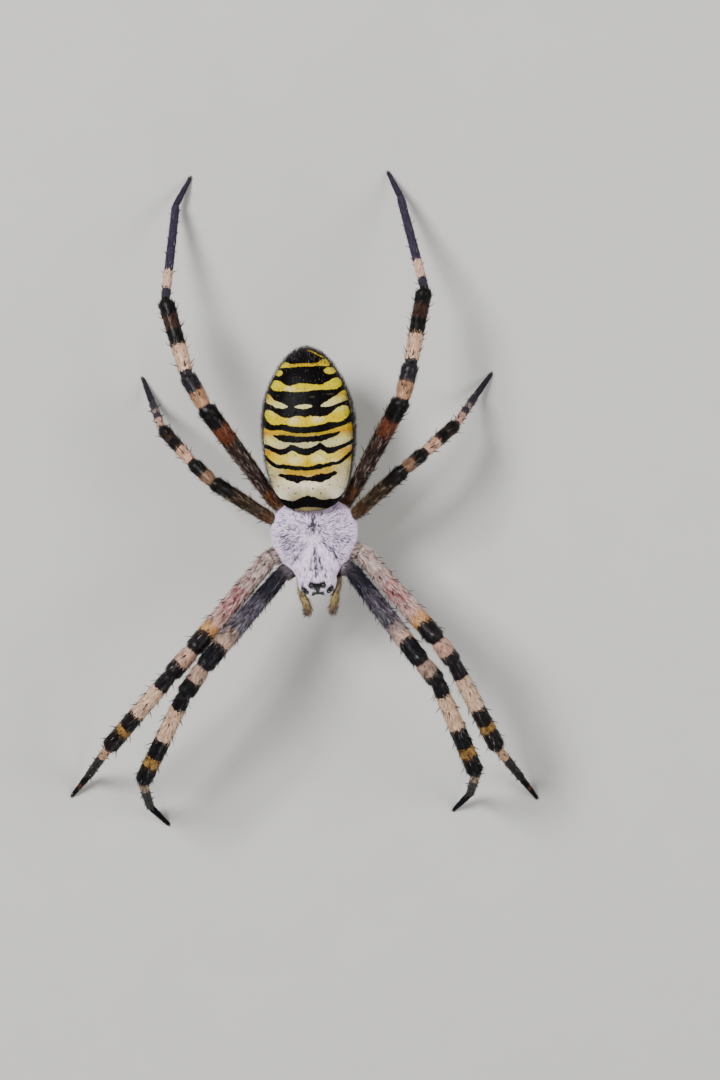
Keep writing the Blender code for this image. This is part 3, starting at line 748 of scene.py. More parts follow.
# Black cross bands of the back, front to rear: (x, lower edge, upper edge) as lengths from the front
BANDS = (
    ((-2.6, -0.3, 1.7), (-2.35, -0.3, 1.5), (-2.1, -0.3, 1.08), (-1.8, -0.2, 0.90), (-1.4, -0.03, 0.80),
     (-1.15, 0.1, 0.76), (-0.95, 0.18, 0.75), (-0.8, 0.23, 0.83), (-0.55, 0.27, 0.93), (-0.25, 0.29, 1.0),
     (-0.08, 0.29, 1.1), (0.1, 0.29, 1.0), (0.4, 0.28, 0.95), (0.6, 0.26, 0.85), (0.8, 0.22, 0.76),
     (1.0, 0.15, 0.78), (1.2, 0.07, 0.80), (1.4, -0.03, 0.81), (1.8, -0.2, 0.84), (2.05, -0.3, 0.97),
     (2.25, -0.3, 1.25), (2.45, -0.3, 1.55), (2.7, -0.3, 1.8)),
    ((-2.2, 2.6, 2.3), (-1.95, 2.39, 2.47), (-1.8, 2.31, 2.55), (-1.6, 2.27, 2.49), (-1.4, 2.10, 2.48),
     (-1.2, 2.02, 2.47), (-1.0, 1.98, 2.46), (-0.8, 1.87, 2.43), (-0.6, 1.9, 2.41), (-0.3, 2.0, 2.33),
     (0.0, 2.01, 2.27), (0.3, 1.97, 2.33), (0.6, 1.91, 2.41), (0.85, 1.87, 2.46), (1.0, 1.94, 2.46),
     (1.2, 2.02, 2.44), (1.4, 2.09, 2.49), (1.55, 2.21, 2.54), (1.75, 2.32, 2.6), (1.9, 2.42, 2.54),
     (2.15, 2.6, 2.4)),
    ((-3.2, 3.9, 4.3), (-2.95, 3.7, 3.98), (-2.75, 3.37, 3.72), (-2.5, 3.14, 3.48), (-2.25, 2.96, 3.29),
     (-2.0, 2.88, 3.14), (-1.7, 2.85, 3.14), (-1.4, 2.81, 3.10), (-1.1, 2.75, 3.06), (-0.7, 2.70, 2.99),
     (-0.3, 2.68, 2.95), (0.1, 2.68, 2.93), (0.5, 2.70, 3.02), (0.8, 2.75, 3.10), (1.0, 2.79, 3.06),
     (1.2, 2.83, 3.12), (1.5, 2.9, 3.19), (1.8, 2.97, 3.19), (2.0, 3.01, 3.25), (2.3, 3.14, 3.45),
     (2.55, 3.37, 3.68), (2.75, 3.6, 3.87), (3.2, 3.95, 4.3)),
    ((-3.2, 4.3, 4.6), (-2.95, 4.25, 4.52), (-2.7, 4.18, 4.47), (-2.4, 4.02, 4.35), (-2.1, 3.88, 4.21),
     (-1.85, 3.75, 4.15), (-1.6, 3.71, 4.13), (-1.4, 3.78, 4.19), (-1.2, 3.91, 4.31), (-1.0, 3.98, 4.41),
     (-0.8, 3.91, 4.36), (-0.6, 3.79, 4.25), (-0.35, 3.70, 4.16), (-0.1, 3.64, 4.12), (0.1, 3.65, 4.12),
     (0.35, 3.75, 4.19), (0.6, 3.87, 4.30), (0.82, 3.98, 4.45), (1.0, 3.95, 4.40), (1.2, 3.82, 4.22),
     (1.4, 3.7, 4.14), (1.6, 3.71, 4.14), (1.85, 3.83, 4.19), (2.1, 3.95, 4.25), (2.4, 4.1, 4.36),
     (2.65, 4.22, 4.47), (2.9, 4.33, 4.64), (3.2, 4.4, 4.8)),
    ((-2.4, 5.2, 4.9), (-2.25, 4.98, 5.08), (-2.0, 4.83, 5.04), (-1.85, 4.68, 5.05), (-1.5, 4.58, 5.03),
     (-1.2, 4.51, 5.0), (-0.9, 4.50, 4.96), (-0.5, 4.48, 4.91), (0.0, 4.50, 4.88), (0.5, 4.52, 4.89),
     (0.9, 4.52, 4.93), (1.2, 4.60, 4.98), (1.5, 4.71, 5.04), (1.8, 4.81, 5.08), (2.0, 4.91, 5.13),
     (2.17, 5.04, 5.18), (2.35, 5.3, 5.0)),
    ((-3.1, 5.7, 6.6), (-2.8, 5.52, 6.3), (-2.65, 5.45, 6.0), (-2.4, 5.36, 5.78), (-2.1, 5.36, 5.70),
     (-1.8, 5.37, 5.72), (-1.6, 5.33, 5.75), (-1.3, 5.24, 5.70), (-1.0, 5.16, 5.59), (-0.6, 5.1, 5.53),
     (0.0, 5.07, 5.50), (0.6, 5.1, 5.54), (1.0, 5.14, 5.62), (1.3, 5.19, 5.72), (1.5, 5.24, 5.77),
     (1.8, 5.33, 5.76), (2.1, 5.43, 5.74), (2.35, 5.5, 5.85), (2.6, 5.6, 6.0), (2.8, 5.72, 6.3),
     (3.1, 5.9, 6.6)),
    ((-3.1, 6.8, 7.5), (-2.85, 6.65, 7.32), (-2.6, 6.72, 7.15), (-2.3, 6.66, 7.05), (-2.1, 6.52, 6.9),
     (-1.9, 6.39, 6.81), (-1.7, 6.25, 6.77), (-1.5, 6.18, 6.74), (-1.2, 6.12, 6.82), (-1.1, 6.12, 6.95),
     (-0.85, 6.16, 6.95), (-0.75, 6.19, 6.82), (-0.5, 6.23, 6.72), (-0.15, 6.17, 6.66), (0.0, 6.10, 6.67),
     (0.15, 6.18, 6.7), (0.47, 6.16, 6.80), (0.56, 6.16, 6.95), (0.9, 6.11, 6.95), (0.98, 6.12, 6.80),
     (1.2, 6.16, 6.75), (1.5, 6.24, 6.76), (1.7, 6.39, 6.83), (1.9, 6.58, 6.9), (2.1, 6.71, 6.97),
     (2.3, 6.81, 7.05), (2.5, 6.85, 7.12), (2.73, 6.75, 7.2), (3.1, 6.7, 7.3)),
    ((-2.9, 8.1, 8.4), (-2.65, 7.82, 8.3), (-2.35, 7.65, 8.2), (-2.15, 7.36, 7.96), (-1.9, 7.24, 7.91),
     (-1.5, 7.07, 7.89), (-1.25, 6.93, 7.87), (-1.12, 6.8, 7.85), (-1.0, 6.7, 7.83), (-0.88, 6.7, 7.81),
     (-0.77, 6.82, 7.80), (-0.5, 6.93, 7.79), (-0.15, 6.96, 7.79), (0.15, 6.95, 7.80), (0.35, 6.9, 7.83),
     (0.48, 6.81, 7.84), (0.58, 6.7, 7.86), (0.86, 6.7, 7.88), (0.96, 6.83, 7.89), (1.15, 6.99, 7.88),
     (1.6, 7.24, 7.87), (2.08, 7.55, 7.92), (2.38, 7.8, 8.2), (2.65, 7.9, 8.3), (2.9, 8.0, 8.4)),
    ((-2.5, 8.5, 9.43), (-2.1, 8.6, 9.42), (-1.9, 8.61, 9.42), (-1.7, 8.56, 9.42), (-1.5, 8.43, 9.42),
     (-1.3, 8.28, 9.42), (-1.0, 8.18, 9.42), (-0.75, 8.24, 9.43), (-0.5, 8.31, 9.45), (-0.2, 8.35, 9.45),
     (0.0, 8.32, 9.45), (0.3, 8.28, 9.45), (0.6, 8.24, 9.45), (0.9, 8.2, 9.45), (1.1, 8.22, 9.43),
     (1.4, 8.35, 9.43), (1.6, 8.47, 9.5), (1.8, 8.59, 9.55), (2.0, 8.68, 9.6), (2.5, 8.6, 9.6)),
    ((-2.2, 9.4, 12.0), (-1.65, 9.6, 12.0), (-1.45, 9.82, 12.0), (-1.2, 9.76, 12.0), (-0.95, 9.63, 12.0),
     (0.0, 9.64, 12.0), (0.75, 9.63, 12.0), (0.9, 9.69, 12.0), (1.0, 9.83, 12.0), (1.2, 9.93, 12.0),
     (1.4, 9.89, 12.0), (1.55, 9.75, 12.0), (2.2, 9.4, 12.0)),
)
# Where the coloured back gives way to the black margin: (length, x) on the two sides
MARGINS = (
    ((0.9, -1.9), (1.2, -2.18), (1.5, -2.38), (2.0, -2.62), (2.5, -2.74), (3.0, -2.82), (4.0, -2.91),
     (4.8, -2.97), (5.4, -2.9), (6.0, -2.75), (6.5, -2.79), (6.72, -2.68), (7.1, -2.88), (7.5, -3.0),
     (7.75, -2.8), (7.95, -2.32), (8.25, -2.37), (8.6, -2.12), (8.8, -1.94), (9.1, -1.98), (9.35, -1.8),
     (9.6, -1.7), (9.8, -1.5)),
    ((0.9, 2.0), (1.2, 2.22), (1.5, 2.42), (2.0, 2.6), (2.5, 2.7), (3.0, 2.78), (3.5, 2.86), (4.2, 2.88),
     (4.8, 3.05), (5.3, 3.05), (5.6, 2.92), (6.0, 2.78), (6.5, 2.82), (6.85, 2.7), (7.15, 2.86), (7.5, 2.96),
     (7.8, 2.72), (8.0, 2.3), (8.3, 2.38), (8.55, 2.27), (8.8, 1.98), (9.1, 1.99), (9.35, 1.84), (9.5, 1.58),
     (9.75, 1.58), (9.9, 1.45)),
)
# Pale marks inside the black ones: (x, length, half width, half height)
PALE_SPOTS = ((-1.77, 9.09, 0.27, 0.2), (1.63, 9.13, 0.38, 0.23))
# Pale line through the black near the tail's tip, and its half width: partly a thin yellow line, partly a
# painted rim highlight.
TAIL_LINE, TAIL_LINE_HALF = ((0.2, 10.52), (0.5, 10.4), (0.75, 10.24), (1.15, 10.04)), 0.045
FLECKS = (
    (-0.77, 7.4, 0.08, 0.05), (0.46, 7.43, 0.22, 0.05), (1.6, 7.6, 0.35, 0.04), (-1.85, 7.62, 0.2, 0.05),
)
DARK_DOTS = ((1.385, 1.73), (0.79, 1.18), (-0.86, 1.19), (-1.29, 1.6), (0.3, 1.5), (-2.0, 1.75), (1.9, 2.0))
DOT_RADIUS = 0.05
# Olive stains on the pale front of the back: (x, length, half width, half height)
STAINS = (
    (-0.08, 1.2, 0.35, 0.7), (-0.7, 1.3, 0.55, 0.8), (0.75, 1.3, 0.5, 0.7), (-1.25, 1.7, 0.9, 0.45),
    (-2.3, 2.2, 0.5, 0.8), (1.6, 1.7, 0.8, 0.4), (0.0, 0.15, 1.6, 0.4),
)
# Milky patches in the yellow: (x, length, half width, half height), and the golden line down the middle
MILK = (
    (-0.8, 3.35, 0.75, 0.42), (0.8, 3.4, 0.75, 0.42), (-0.8, 5.95, 0.6, 0.4), (0.75, 6.0, 0.6, 0.4),
    (-1.0, 8.0, 0.5, 0.3), (1.75, 3.2, 0.5, 0.3),
)
MIDLINE_HALF, MIDLINE_STRENGTH = 0.07, 0.45
BAND_SMOOTHING = 0.045
FAR_OUTSIDE = -9.0
FLANK_RISE, BELLY_FALL = 15.0, 40.0  # where back and belly end, in degrees above and below the widest line
BELLY_STRIPE_FROM, BELLY_STRIPE_TO, BELLY_STRIPE_HALF = (1.3, 2.9), (1.05, 6.8), 0.2
BELLY_DOTS = ((0.4, 3.7, 0.09), (0.42, 4.9, 0.1), (0.4, 5.9, 0.09))  # x, length and radius
SIGILLA = ((0.8, 1.2), (0.75, 3.5), (0.7, 5.0), (0.62, 6.35), (0.5, 8.2))  # pits over the muscles' ends
SIGILLUM_RADIUS, SIGILLUM_DEPTH = 0.12, 0.035
FOLD_LENGTH, FOLD_HEIGHT, DIMPLE_HEIGHT = 1.05, 0.014, 0.008


def off_line(x, y, start, end):
    """Distance of points from a line between two points, and the share of the line where they are."""
    start, end = np.array(start), np.array(end)
    way = end - start
    share = np.clip(((x - start[0]) * way[0] + (y - start[1]) * way[1]) / (way @ way), 0, 1)
    return np.hypot(x - start[0] - share * way[0], y - start[1] - share * way[1]), share


def spots(x, length, table):
    """1 at the middle of the nearest of some oval marks, 0 at its edge and less outside."""
    off = [np.hypot((x - at) / wide, (length - along) / tall) for at, along, wide, tall in table]
    return 1 - np.min(off, axis=0)


def band_distance(x, length):
    """Millimetres inside the nearest black mark of the back, negative outside it."""
    fine = np.linspace(-3.6, 3.6, 361)
    window = hump(np.arange(-9, 10) * (fine[1] - fine[0]), BAND_SMOOTHING)
    window /= window.sum()
    inside = np.full(x.shape, FAR_OUTSIDE)
    for table in BANDS:
        at, *edges = np.array(table).T
        padded = (np.pad(np.interp(fine, at, edge), 9, "edge") for edge in edges)
        low, high = (np.interp(x, fine, np.convolve(edge, window, "valid")) for edge in padded)
        inside = np.maximum(inside, np.minimum(high - length, length - low))
    left, right = (np.interp(length, *np.array(table).T) for table in MARGINS)
    inside = np.maximum(inside, np.maximum(left - x, x - right))
    inside = np.minimum(inside, -0.2 * spots(x, length, PALE_SPOTS))
    # the pale line near the tail's tip, partly a painted rim highlight
    for start, end in zip(TAIL_LINE, TAIL_LINE[1:]):
        inside = np.minimum(inside, off_line(x, length, start, end)[0] - TAIL_LINE_HALF)
    for middle, at in DARK_DOTS:
        inside = np.maximum(inside, DOT_RADIUS - np.hypot(x - middle, length - at))
    return inside


def eased(count, crowd=1.0):
    """Stations from 0 to 1, close together at both ends, where a body closes."""
    step = np.linspace(0.012, 0.988, count)
    return (((1 - np.cos(np.pi * step)) / 2) ** crowd)[:, None]


def round_angles(count):
    return np.arange(count) * 2 * np.pi / count


def make_abdomen():
    station, angle = eased(200, 1.15), round_angles(300)
    points = abdomen_point(station, angle)
    x, y, _ = np.moveaxis(points, -1, 0)
    length, aside = y - y.min(), np.abs(x)
    rise = np.degrees(np.arcsin(np.sin(angle)))
    girth = ABDOMEN_HALF_WIDTH * math.radians(1)
    stripe = BELLY_STRIPE_HALF - off_line(aside, length, BELLY_STRIPE_FROM, BELLY_STRIPE_TO)[0]
    stripe += 0.03 * np.sin(4.2 * length)
    for middle, at, radius in BELLY_DOTS:
        stripe = np.maximum(stripe, radius - np.hypot(aside - middle, length - at))
    skin = Skin(
        points,
        band=band_distance(x, length),
        along=length / BACK_LENGTH,
        aside=aside / aside.max(axis=1, keepdims=True),
        back=(rise - FLANK_RISE) * girth,
        belly=(-rise - BELLY_FALL) * girth,
        stripe=stripe,
        stain=np.clip(spots(x, length, STAINS), 0, 1),
        milk=0.6 * smooth(spots(x, length, MILK), 0, 0.8),
        midline=MIDLINE_STRENGTH * hump(x, MIDLINE_HALF) * smooth(length, 2.3, 2.8),
        fleck=np.clip(spots(x, length, FLECKS) * 1.5, 0, 1),
        fringe=smooth(-np.abs(rise - 5), -40, 0) + smooth(length, 9.0, 10.5),
    )
    relief = FOLD_HEIGHT * np.cos(2 * np.pi * length / FOLD_LENGTH) * smooth(-rise, -30, 20)
    relief += DIMPLE_HEIGHT * np.sin(5.1 * x + 3.3 * length) * np.sin(4.3 * length - 2.9 * x)
    for middle, at in SIGILLA:
        pit = hump(np.hypot(aside - middle, length - at), SIGILLUM_RADIUS)
        relief -= SIGILLUM_DEPTH * pit * smooth(rise, 10, 40)
    skin.push(relief - SKIN_DEPTH)
    skin.place(TAIL)
    skin.piece("skin_abdomen", cuticle_of_abdomen(), "abdomen", "abdomen")
    return skin


def coat_abdomen(skin, look):
    """Short bristles laid back over the abdomen, thin on the back and thick on flanks and tail."""

    def grown(marks):
        fringe = np.clip(marks["fringe"], 0, 1)
        return 0.7 + 0.75 * fringe, 12 * fringe

    density = 0.18 + skin.marks["fringe"]
    bristles("coat_abdomen", "abdomen", skin, seeded("abdomen"), density, look, grown=grown)


# ---------------------------------------------------------------- cephalothorax

# Marks of the shield's hair, as (x, y) in its own frame: the same on both sides, but for the bright spots
BRIGHT_SPOTS = ((0.0, 0.5, 0.24), (-0.5, 0.48, 0.2))  # ahead of the fovea, with their radius
V_FROM, V_TO, V_HALF = (0.1, 0.2), (1.2, -1.3), 0.2  # arm of the white V
SHADE_AT, SHADE_SIZE = (1.6, 0.2), (0.65, 0.6)
GROOVE_FROM, GROOVE_TO, GROOVE_HALF = (0.5, 0.3), (1.5, -1.0), 0.16
# Dark lines along the middle: (x, from y, to y, half width)
MIDLINES = ((0.04, -1.95, 0.2, 0.07), (0.36, -1.5, -0.75, 0.07), (0.0, 1.0, 1.8, 0.08))
# Black face left without hair: round each eye (bare to, furred from, in radii), between two eyes (with
# half its width), a patch at each side, a wedge ahead of the front eyes, and a strip along the front rim
BARE_HALO = {name: (1.15, 1.6) if name == "front_middle" else (1.4, 2.2) for name in EYES}
BLACK_BRIDGES = (
    (("rear_middle", "left"), ("rear_middle", "right"), 0.16),
    (("front_middle", "left"), ("front_middle", "right"), 0.09),
    (("rear_side", "left"), ("front_side", "left"), 0.24),
    (("rear_side", "right"), ("front_side", "right"), 0.24),
)
BLACK_PATCH = ((0.7, -3.05), (1.0, -2.98), 0.12)
BLACK_WEDGE_FROM, BLACK_WEDGE_TO, BLACK_WEDGE_HALVES = (0, -2.8), (0, -3.16), (0.2, 0.03)
BLACK_RIM, BLACK_RIM_HALF = -3.1, 0.42
# Furrows that bound the head and run out from the fovea, and the raised heart-shaped sternum below
NECK_FROM, NECK_TO, NECK_HALF, NECK_DEPTH = (0.1, 0.7), (1.3, -1.5), 0.14, 0.05
RIB_ENDS, RIB_HALF, RIB_DEPTH = ((2.3, -0.5), (2.6, 0.9), (2.1, 2.2)), 0.13, 0.035
EYE_MOUND = 0.05
STERNUM_HALF, STERNUM_MIDDLE = (1.15, 1.75), -0.05
SHIELD_HAIRS = 44000
LANE_WIDTH, HEAD_CLUMP, THORAX_CLUMP = 0.05, 0.18, 0.14  # width and lengths of the hair's clumps
LANES_INSIDE, LANES_OUTSIDE, INSIDE_RADIUS = 28, 60, 1.2  # per radian round the fovea


def silver_share(x, y):
    """How white and dense the shield's hair is: 0 bare dark streaks, 1 solid white."""
    aside = np.abs(x)
    arm, _ = off_line(aside, y, V_FROM, V_TO)
    groove, _ = off_line(aside, y, GROOVE_FROM, GROOVE_TO)
    shade = hump(np.hypot((aside - SHADE_AT[0]) / SHADE_SIZE[0], (y - SHADE_AT[1]) / SHADE_SIZE[1]), 1.0)
    rim = smooth(aside / prosoma_half_width(y), 0.84, 0.98)
    arm_x = V_FROM[0] + (V_FROM[1] - y) * (V_TO[0] - V_FROM[0]) / (V_FROM[1] - V_TO[1])
    inside = smooth(arm_x - aside, -0.05, 0.1) * smooth(-y, -0.3, 0.0)
    share = 0.5 + 0.2 * inside + 0.45 * hump(arm, V_HALF) + 0.35 * rim + 0.1 * smooth(-y, 1.2, 2.2)
    share -= 0.22 * (shade + hump(groove, GROOVE_HALF))
    for at_x, at_y, radius in BRIGHT_SPOTS:
        share += 0.5 * hump(np.hypot(x - at_x, y - at_y), radius)
    for middle, near, far, half in MIDLINES:
        share -= 0.75 * hump(off_line(aside, y, (middle, near), (middle * 0.6, far))[0], half)
    return np.clip(share, 0.02, 1.2)


def bare_face(points):
    """1 on the black face without hair, round, between and ahead of the eyes, 0 where hair covers it."""
    x, y, _ = np.moveaxis(points, -1, 0)
    centres = {(name, side): eye_centre(name, side)[0] for name in EYES for side in SIDES}
    off, along = off_line(x, y, BLACK_WEDGE_FROM, BLACK_WEDGE_TO)
    half = BLACK_WEDGE_HALVES[0] * (1 - along) + BLACK_WEDGE_HALVES[1]
    shares = [
        smooth(half - off, -0.03, 0.02),
        smooth(BLACK_RIM - y, -0.02, 0.03) * (np.abs(x) < BLACK_RIM_HALF),
    ]
    for (name, _), centre in centres.items():
        off = np.linalg.norm(points - centre, axis=-1) / EYES[name][2]
        bare, furred = BARE_HALO[name]
        shares.append(smooth(-off, -furred, -bare))
    strokes = [(x, centres[start][:2], centres[end][:2], half) for start, end, half in BLACK_BRIDGES]
    strokes.append((np.abs(x), *BLACK_PATCH))
    for across, start, end, half in strokes:
        shares.append(smooth(-off_line(across, y, start, end)[0], -half, -half * 0.6) * (y < -2))
    return np.max(shares, axis=0)


def make_prosoma():
    station, angle = eased(170), round_angles(260)
    points = prosoma_point(station, angle)
    x, y, _ = np.moveaxis(points, -1, 0)
    aside, upper = np.abs(x), np.sin(angle) >= 0
    neck, share = off_line(aside, y, NECK_FROM, NECK_TO)
    relief = -NECK_DEPTH * hump(neck, NECK_HALF) * smooth(share, 0.0, 0.3)
    for end in RIB_ENDS:
        rib, share = off_line(aside, y, (0.25, FOVEA_AT), end)
        relief -= RIB_DEPTH * hump(rib, RIB_HALF) * smooth(share, 0.1, 0.4) * (1 - smooth(share, 0.75, 1.0))
    for name, (_, _, radius) in EYES.items():
        for side in SIDES:
            off = np.linalg.norm(points - eye_centre(name, side)[0], axis=-1)
            relief += EYE_MOUND * hump(off, radius * 1.7)
    off_middle = np.abs(y - STERNUM_MIDDLE)
    sternum = 1 - np.hypot(x / STERNUM_HALF[0], off_middle / STERNUM_HALF[1])
    below = 0.05 * smooth(sternum, -0.02, 0.05) + 0.02 * np.cos(4 * y) * np.cos(5 * x)
    stripe = 0.32 - aside - 0.09 * off_middle + 0.03 * np.cos(9 * y)
    skin = Skin(
        points,
        silver=np.where(upper, silver_share(x, y), 0.2),
        face=bare_face(points) * upper,
        under=smooth(-np.sin(angle), 0.02, 0.25),
        stripe=np.minimum(stripe, (1.45 - off_middle) * 0.5),
    )
    skin.push(np.where(upper, relief, below) - SKIN_DEPTH)
    skin.place(SHIELD)
    skin.piece("skin_cephalothorax", cuticle_of_shield(), "shield", "cephalothorax")
    return skin


def coat_prosoma(skin):
    """Silver scales over the shield, fanning out from the fovea and forward over the head."""
    rng, marks, count = seeded("shield"), skin.marks, SHIELD_HAIRS
    density = (1 - marks["under"]) * np.clip(marks["silver"], 0.1, 1.0) ** 0.9 * (1 - 0.985 * marks["face"])
    roots = skin.scatter(count, rng, density)
    local = placed(SHIELD.inverted(), roots["root"])
    x, y, _ = local.T
    from_fovea = np.hypot(x, y - FOVEA_AT)
    fan = stacked(x, y - FOVEA_AT, -0.25 * np.abs(x))
    ahead = stacked(0.16 * np.sin(2.2 * x), -1.0, -0.1)
    forward = smooth(-y, -0.2, 1.1) * (1 - smooth(np.abs(x), 0.9, 1.7))
    forward = np.maximum(forward, smooth(-from_fovea, -0.5, -0.2))[:, None]
    lie = unit(unit(fan) * (1 - forward) + ahead * forward) + 0.18 * rng.normal(size=(count, 3))
    near_face = smooth(-y, 1.8, 2.8)
    rim = smooth(np.abs(x) / prosoma_half_width(y), 0.86, 1.0) * (1 - near_face)
    length = rng.uniform(0.17, 0.29, count) * (1 - 0.35 * near_face) * (1 + 0.7 * rim)
    # clumps in straight lanes on the head, and in lanes round the fovea on the thorax
    on_head = forward[:, 0] > 0.5
    lanes = np.where(from_fovea < INSIDE_RADIUS, LANES_INSIDE, LANES_OUTSIDE)
    across = np.where(on_head, x / LANE_WIDTH + 200, (np.arctan2(x, y - FOVEA_AT) + 4) * lanes)
    clump = clumped(across, np.where(on_head, -y / HEAD_CLUMP + 40, from_fovea / THORAX_CLUMP), rng)
    roots["marks"]["clump"] = clump
    light = clump + 0.6 * (roots["marks"]["silver"] - 0.6) >= 0.38
    tip_on_black = bare_face(local + lie * length[:, None]) > 0.3 + 0.7 * rng.random(count)
    shown = (light | (rng.random(count) < 0.3)) & ~tip_on_black
    roots = kept(roots, shown)
    lie, length, rim, near_face = (values[shown] for values in (lie, length, rim, near_face))
    count = len(length)
    lift = rng.uniform(5, 14, count) + 16 * rim
    width = rng.uniform(0.02, 0.032, count) * (1 - 0.3 * near_face)
    lie = lie @ np.array(SHIELD)[:3, :3].T
    look = silver_setae()
    hairs("coat_shield", roots, lie, length, width, lift, 0.0, look, rng, SCALE_SHAPE)


def coat_sternum(skin):
    """Thin pale hairs pointing back under the body."""
    look = plain_setae("dusky_sternum_setae", "4a4038", "b7ab93", 0.4)
    bristles("coat_sternum", "sternum", skin, seeded("sternum"), skin.marks["under"], look)


def globe(centre, axis, radius, rings, columns, squash=1.0, **marks):
    """A ball-shaped skin with its pole along an axis, both in the shield's frame."""
    axis = unit(np.array(axis))
    side = unit(np.cross(axis, (0.3, 0.2, 1.0)))
    up = np.cross(side, axis)
    turn = np.linspace(0.02, 0.98, rings)[:, None, None] * np.pi
    angle = round_angles(columns)[None, :, None]
    rim = np.sin(turn) * (np.cos(angle) * side + np.sin(angle) * up)
    return Skin(placed(SHIELD, np.array(centre) + radius * (rim - np.cos(turn) * axis * squash)), **marks)


def make_eyes():
    # Black lens of an eye: clear wet-looking gloss over black
    gloss = {"ior": 1.5, "roughness": 0.06, "coat_weight": 0.6, "coat_roughness": 0.03}
    look = clouded("black_glassy_eye_cornea", 0.08, 2.0, "030304", "120e0d", **gloss)
    for name, (_, _, radius) in EYES.items():
        for side in SIDES:
            lens = globe(*eye_centre(name, side), radius, 22, 32)
            lens.piece(f"lens_{name}_{side}", look, "eye", f"eye_{name}_{side}")


# ---------------------------------------------------------------- legs and feelers

BEND_LENGTH = 0.55  # over which a limb's rings turn at a joint
JOINT_NECK, NECK_REACH, MARK_REACH = 0.88, 0.16, 0.08
BELLY_SWELL, COLLAR_SWELL, COLLAR_AT, COLLAR_HALF = 0.035, 0.05, 0.36, 0.18
CAP_RINGS, CAP_LENGTH = 5, 0.8  # of a limb's rounded tip, the length in radii
LEG_COLUMNS, LEG_SPACING, LEG_SKIN_DEPTH = 40, 0.085, 0.03
COAT_COUNTS = {1: 6500, 2: 6500, 3: 3600, 4: 6000}
FEMUR_DENSITY, LEG_DENSITY = {1: 1.5, 2: 1.8, 3: 1.1, 4: 1.5}, 0.85
SLOTS = {1: "slate", 2: "rose", 3: "brown", 4: "brown"}
SPINE_ROWS = {  # angles round each segment, 90 on top, and millimetres between spines along it
    1: ((90, 1.5), (32, 1.25), (148, 1.25), (-20, 1.6), (200, 1.6)),
    2: ((60, 1.4), (120, 1.4)),
    3: ((90, 1.7), (25, 1.15), (155, 1.15), (-35, 1.3), (215, 1.3)),
    4: ((60, 1.9), (120, 1.9), (-30, 1.6), (210, 1.6)),
}
SPINE_FIRST, SPINE_ENDS, SPINE_STRAY, SPINE_TURN = (0.35, 0.9), (0.15, 0.12), 0.22, 12
SPINE_LENGTH, SPINE_LIFT, FOOT_SPINES = (0.55, 0.8), (38, 62), 0.78  # and the share of the length at the foot
CLAW_ANGLES, CLAW_LENGTHS = (60, 120, 90), (0.3, 0.3, 0.2)
STANDING = 0.34  # share of the leg's setae
PALP_COXA_RADIUS, PALP_COLUMNS, PALP_SPACING = 0.42, 32, 0.05


def limb_skin(joints, radii, columns, spacing, tip_share, depth):
    """A limb's unbroken skin, necked at its joints and rounded at its tip."""
    joints = np.array(joints)
    steps = np.diff(joints, axis=0)
    lengths = np.linalg.norm(steps, axis=1)
    ways = steps / lengths[:, None]
    last = len(radii) - 1
    rows = {key: [] for key in ("centre", "way", "size", "reach", "run", "joint")}
    for i, (near, far) in enumerate(radii):
        count = math.ceil(lengths[i] / spacing)
        share = np.arange(count + (i == last)) / count
        gaps = share * lengths[i], (1 - share) * lengths[i]
        far_end = far * tip_share if i == last else far
        size = (near + (far_end - near) * share) * (1 + BELLY_SWELL * np.sin(np.pi * share))
        size += COLLAR_SWELL * far * hump(gaps[1] - COLLAR_AT, COLLAR_HALF) * (i < last)
        way, mark = np.tile(ways[i], (len(share), 1)), np.zeros(len(share))
        for end, other in enumerate((i - 1, i + 1)):
            if 0 <= other <= last:
                turn = 0.5 * (1 - smooth(gaps[end], 0, BEND_LENGTH))
                way += (ways[other] - ways[i]) * turn[:, None]
                neck = JOINT_NECK * min(radii[i][end], radii[other][1 - end])
                size += (neck - size) * hump(gaps[end], NECK_REACH)
                mark = np.maximum(mark, hump(gaps[end], MARK_REACH))
        values = joints[i] + share[:, None] * steps[i], unit(way), size - depth, i + share * 0.9999
        for key, value in zip(rows, (*values, lengths[:i].sum() + gaps[0], mark)):
            rows[key].append(value)
    cap = np.arange(1, CAP_RINGS) / CAP_RINGS
    for value in rows.values():
        value.append(np.repeat(value[-1][-1:], len(cap), axis=0))
    row = {key: np.concatenate(value) for key, value in rows.items()}
    row["centre"][-len(cap) :] += np.outer(cap * CAP_LENGTH * row["size"][-1], row["way"][-1])
    row["size"][-len(cap) :] *= np.sqrt(1 - cap**2)
    side = unit(np.cross(row["way"], (0.0, 0.0, 1.0)))
    up = np.cross(side, row["way"])
    angle = round_angles(columns)
    rim = np.cos(angle)[:, None] * side[:, None] + np.sin(angle)[:, None] * up[:, None]
    folded = np.abs((angle + np.pi / 2) % (2 * np.pi) - np.pi)
    marks = {key: row[key][:, None] for key in ("reach", "run", "joint")}
    marks["arc"] = folded * np.maximum(row["size"], 0.1)[:, None]
    skin = Skin(row["centre"][:, None] + rim * row["size"][:, None, None], **marks)
    skin.row = row
    return skin


def picked(skin, reaches, angles):
    """Roots at given places along and round a limb."""
    rings, columns = skin.points.shape[:2]
    i = np.clip(np.searchsorted(skin.row["reach"], reaches), 1, rings - 2)
    j = np.round(np.asarray(angles) / 360 * columns).astype(int) % columns
    return {
        "root": skin.points[i, j],
        "normal": skin.normals()[i, j],
        "along": unit(skin.points[i + 1, j] - skin.points[i, j]),
        "uv": np.stack([(j + 0.5) / columns, (i + 1.5) / (rings + 1)], axis=-1),
        "marks": {key: value[i, j] for key, value in skin.marks.items()},
    }


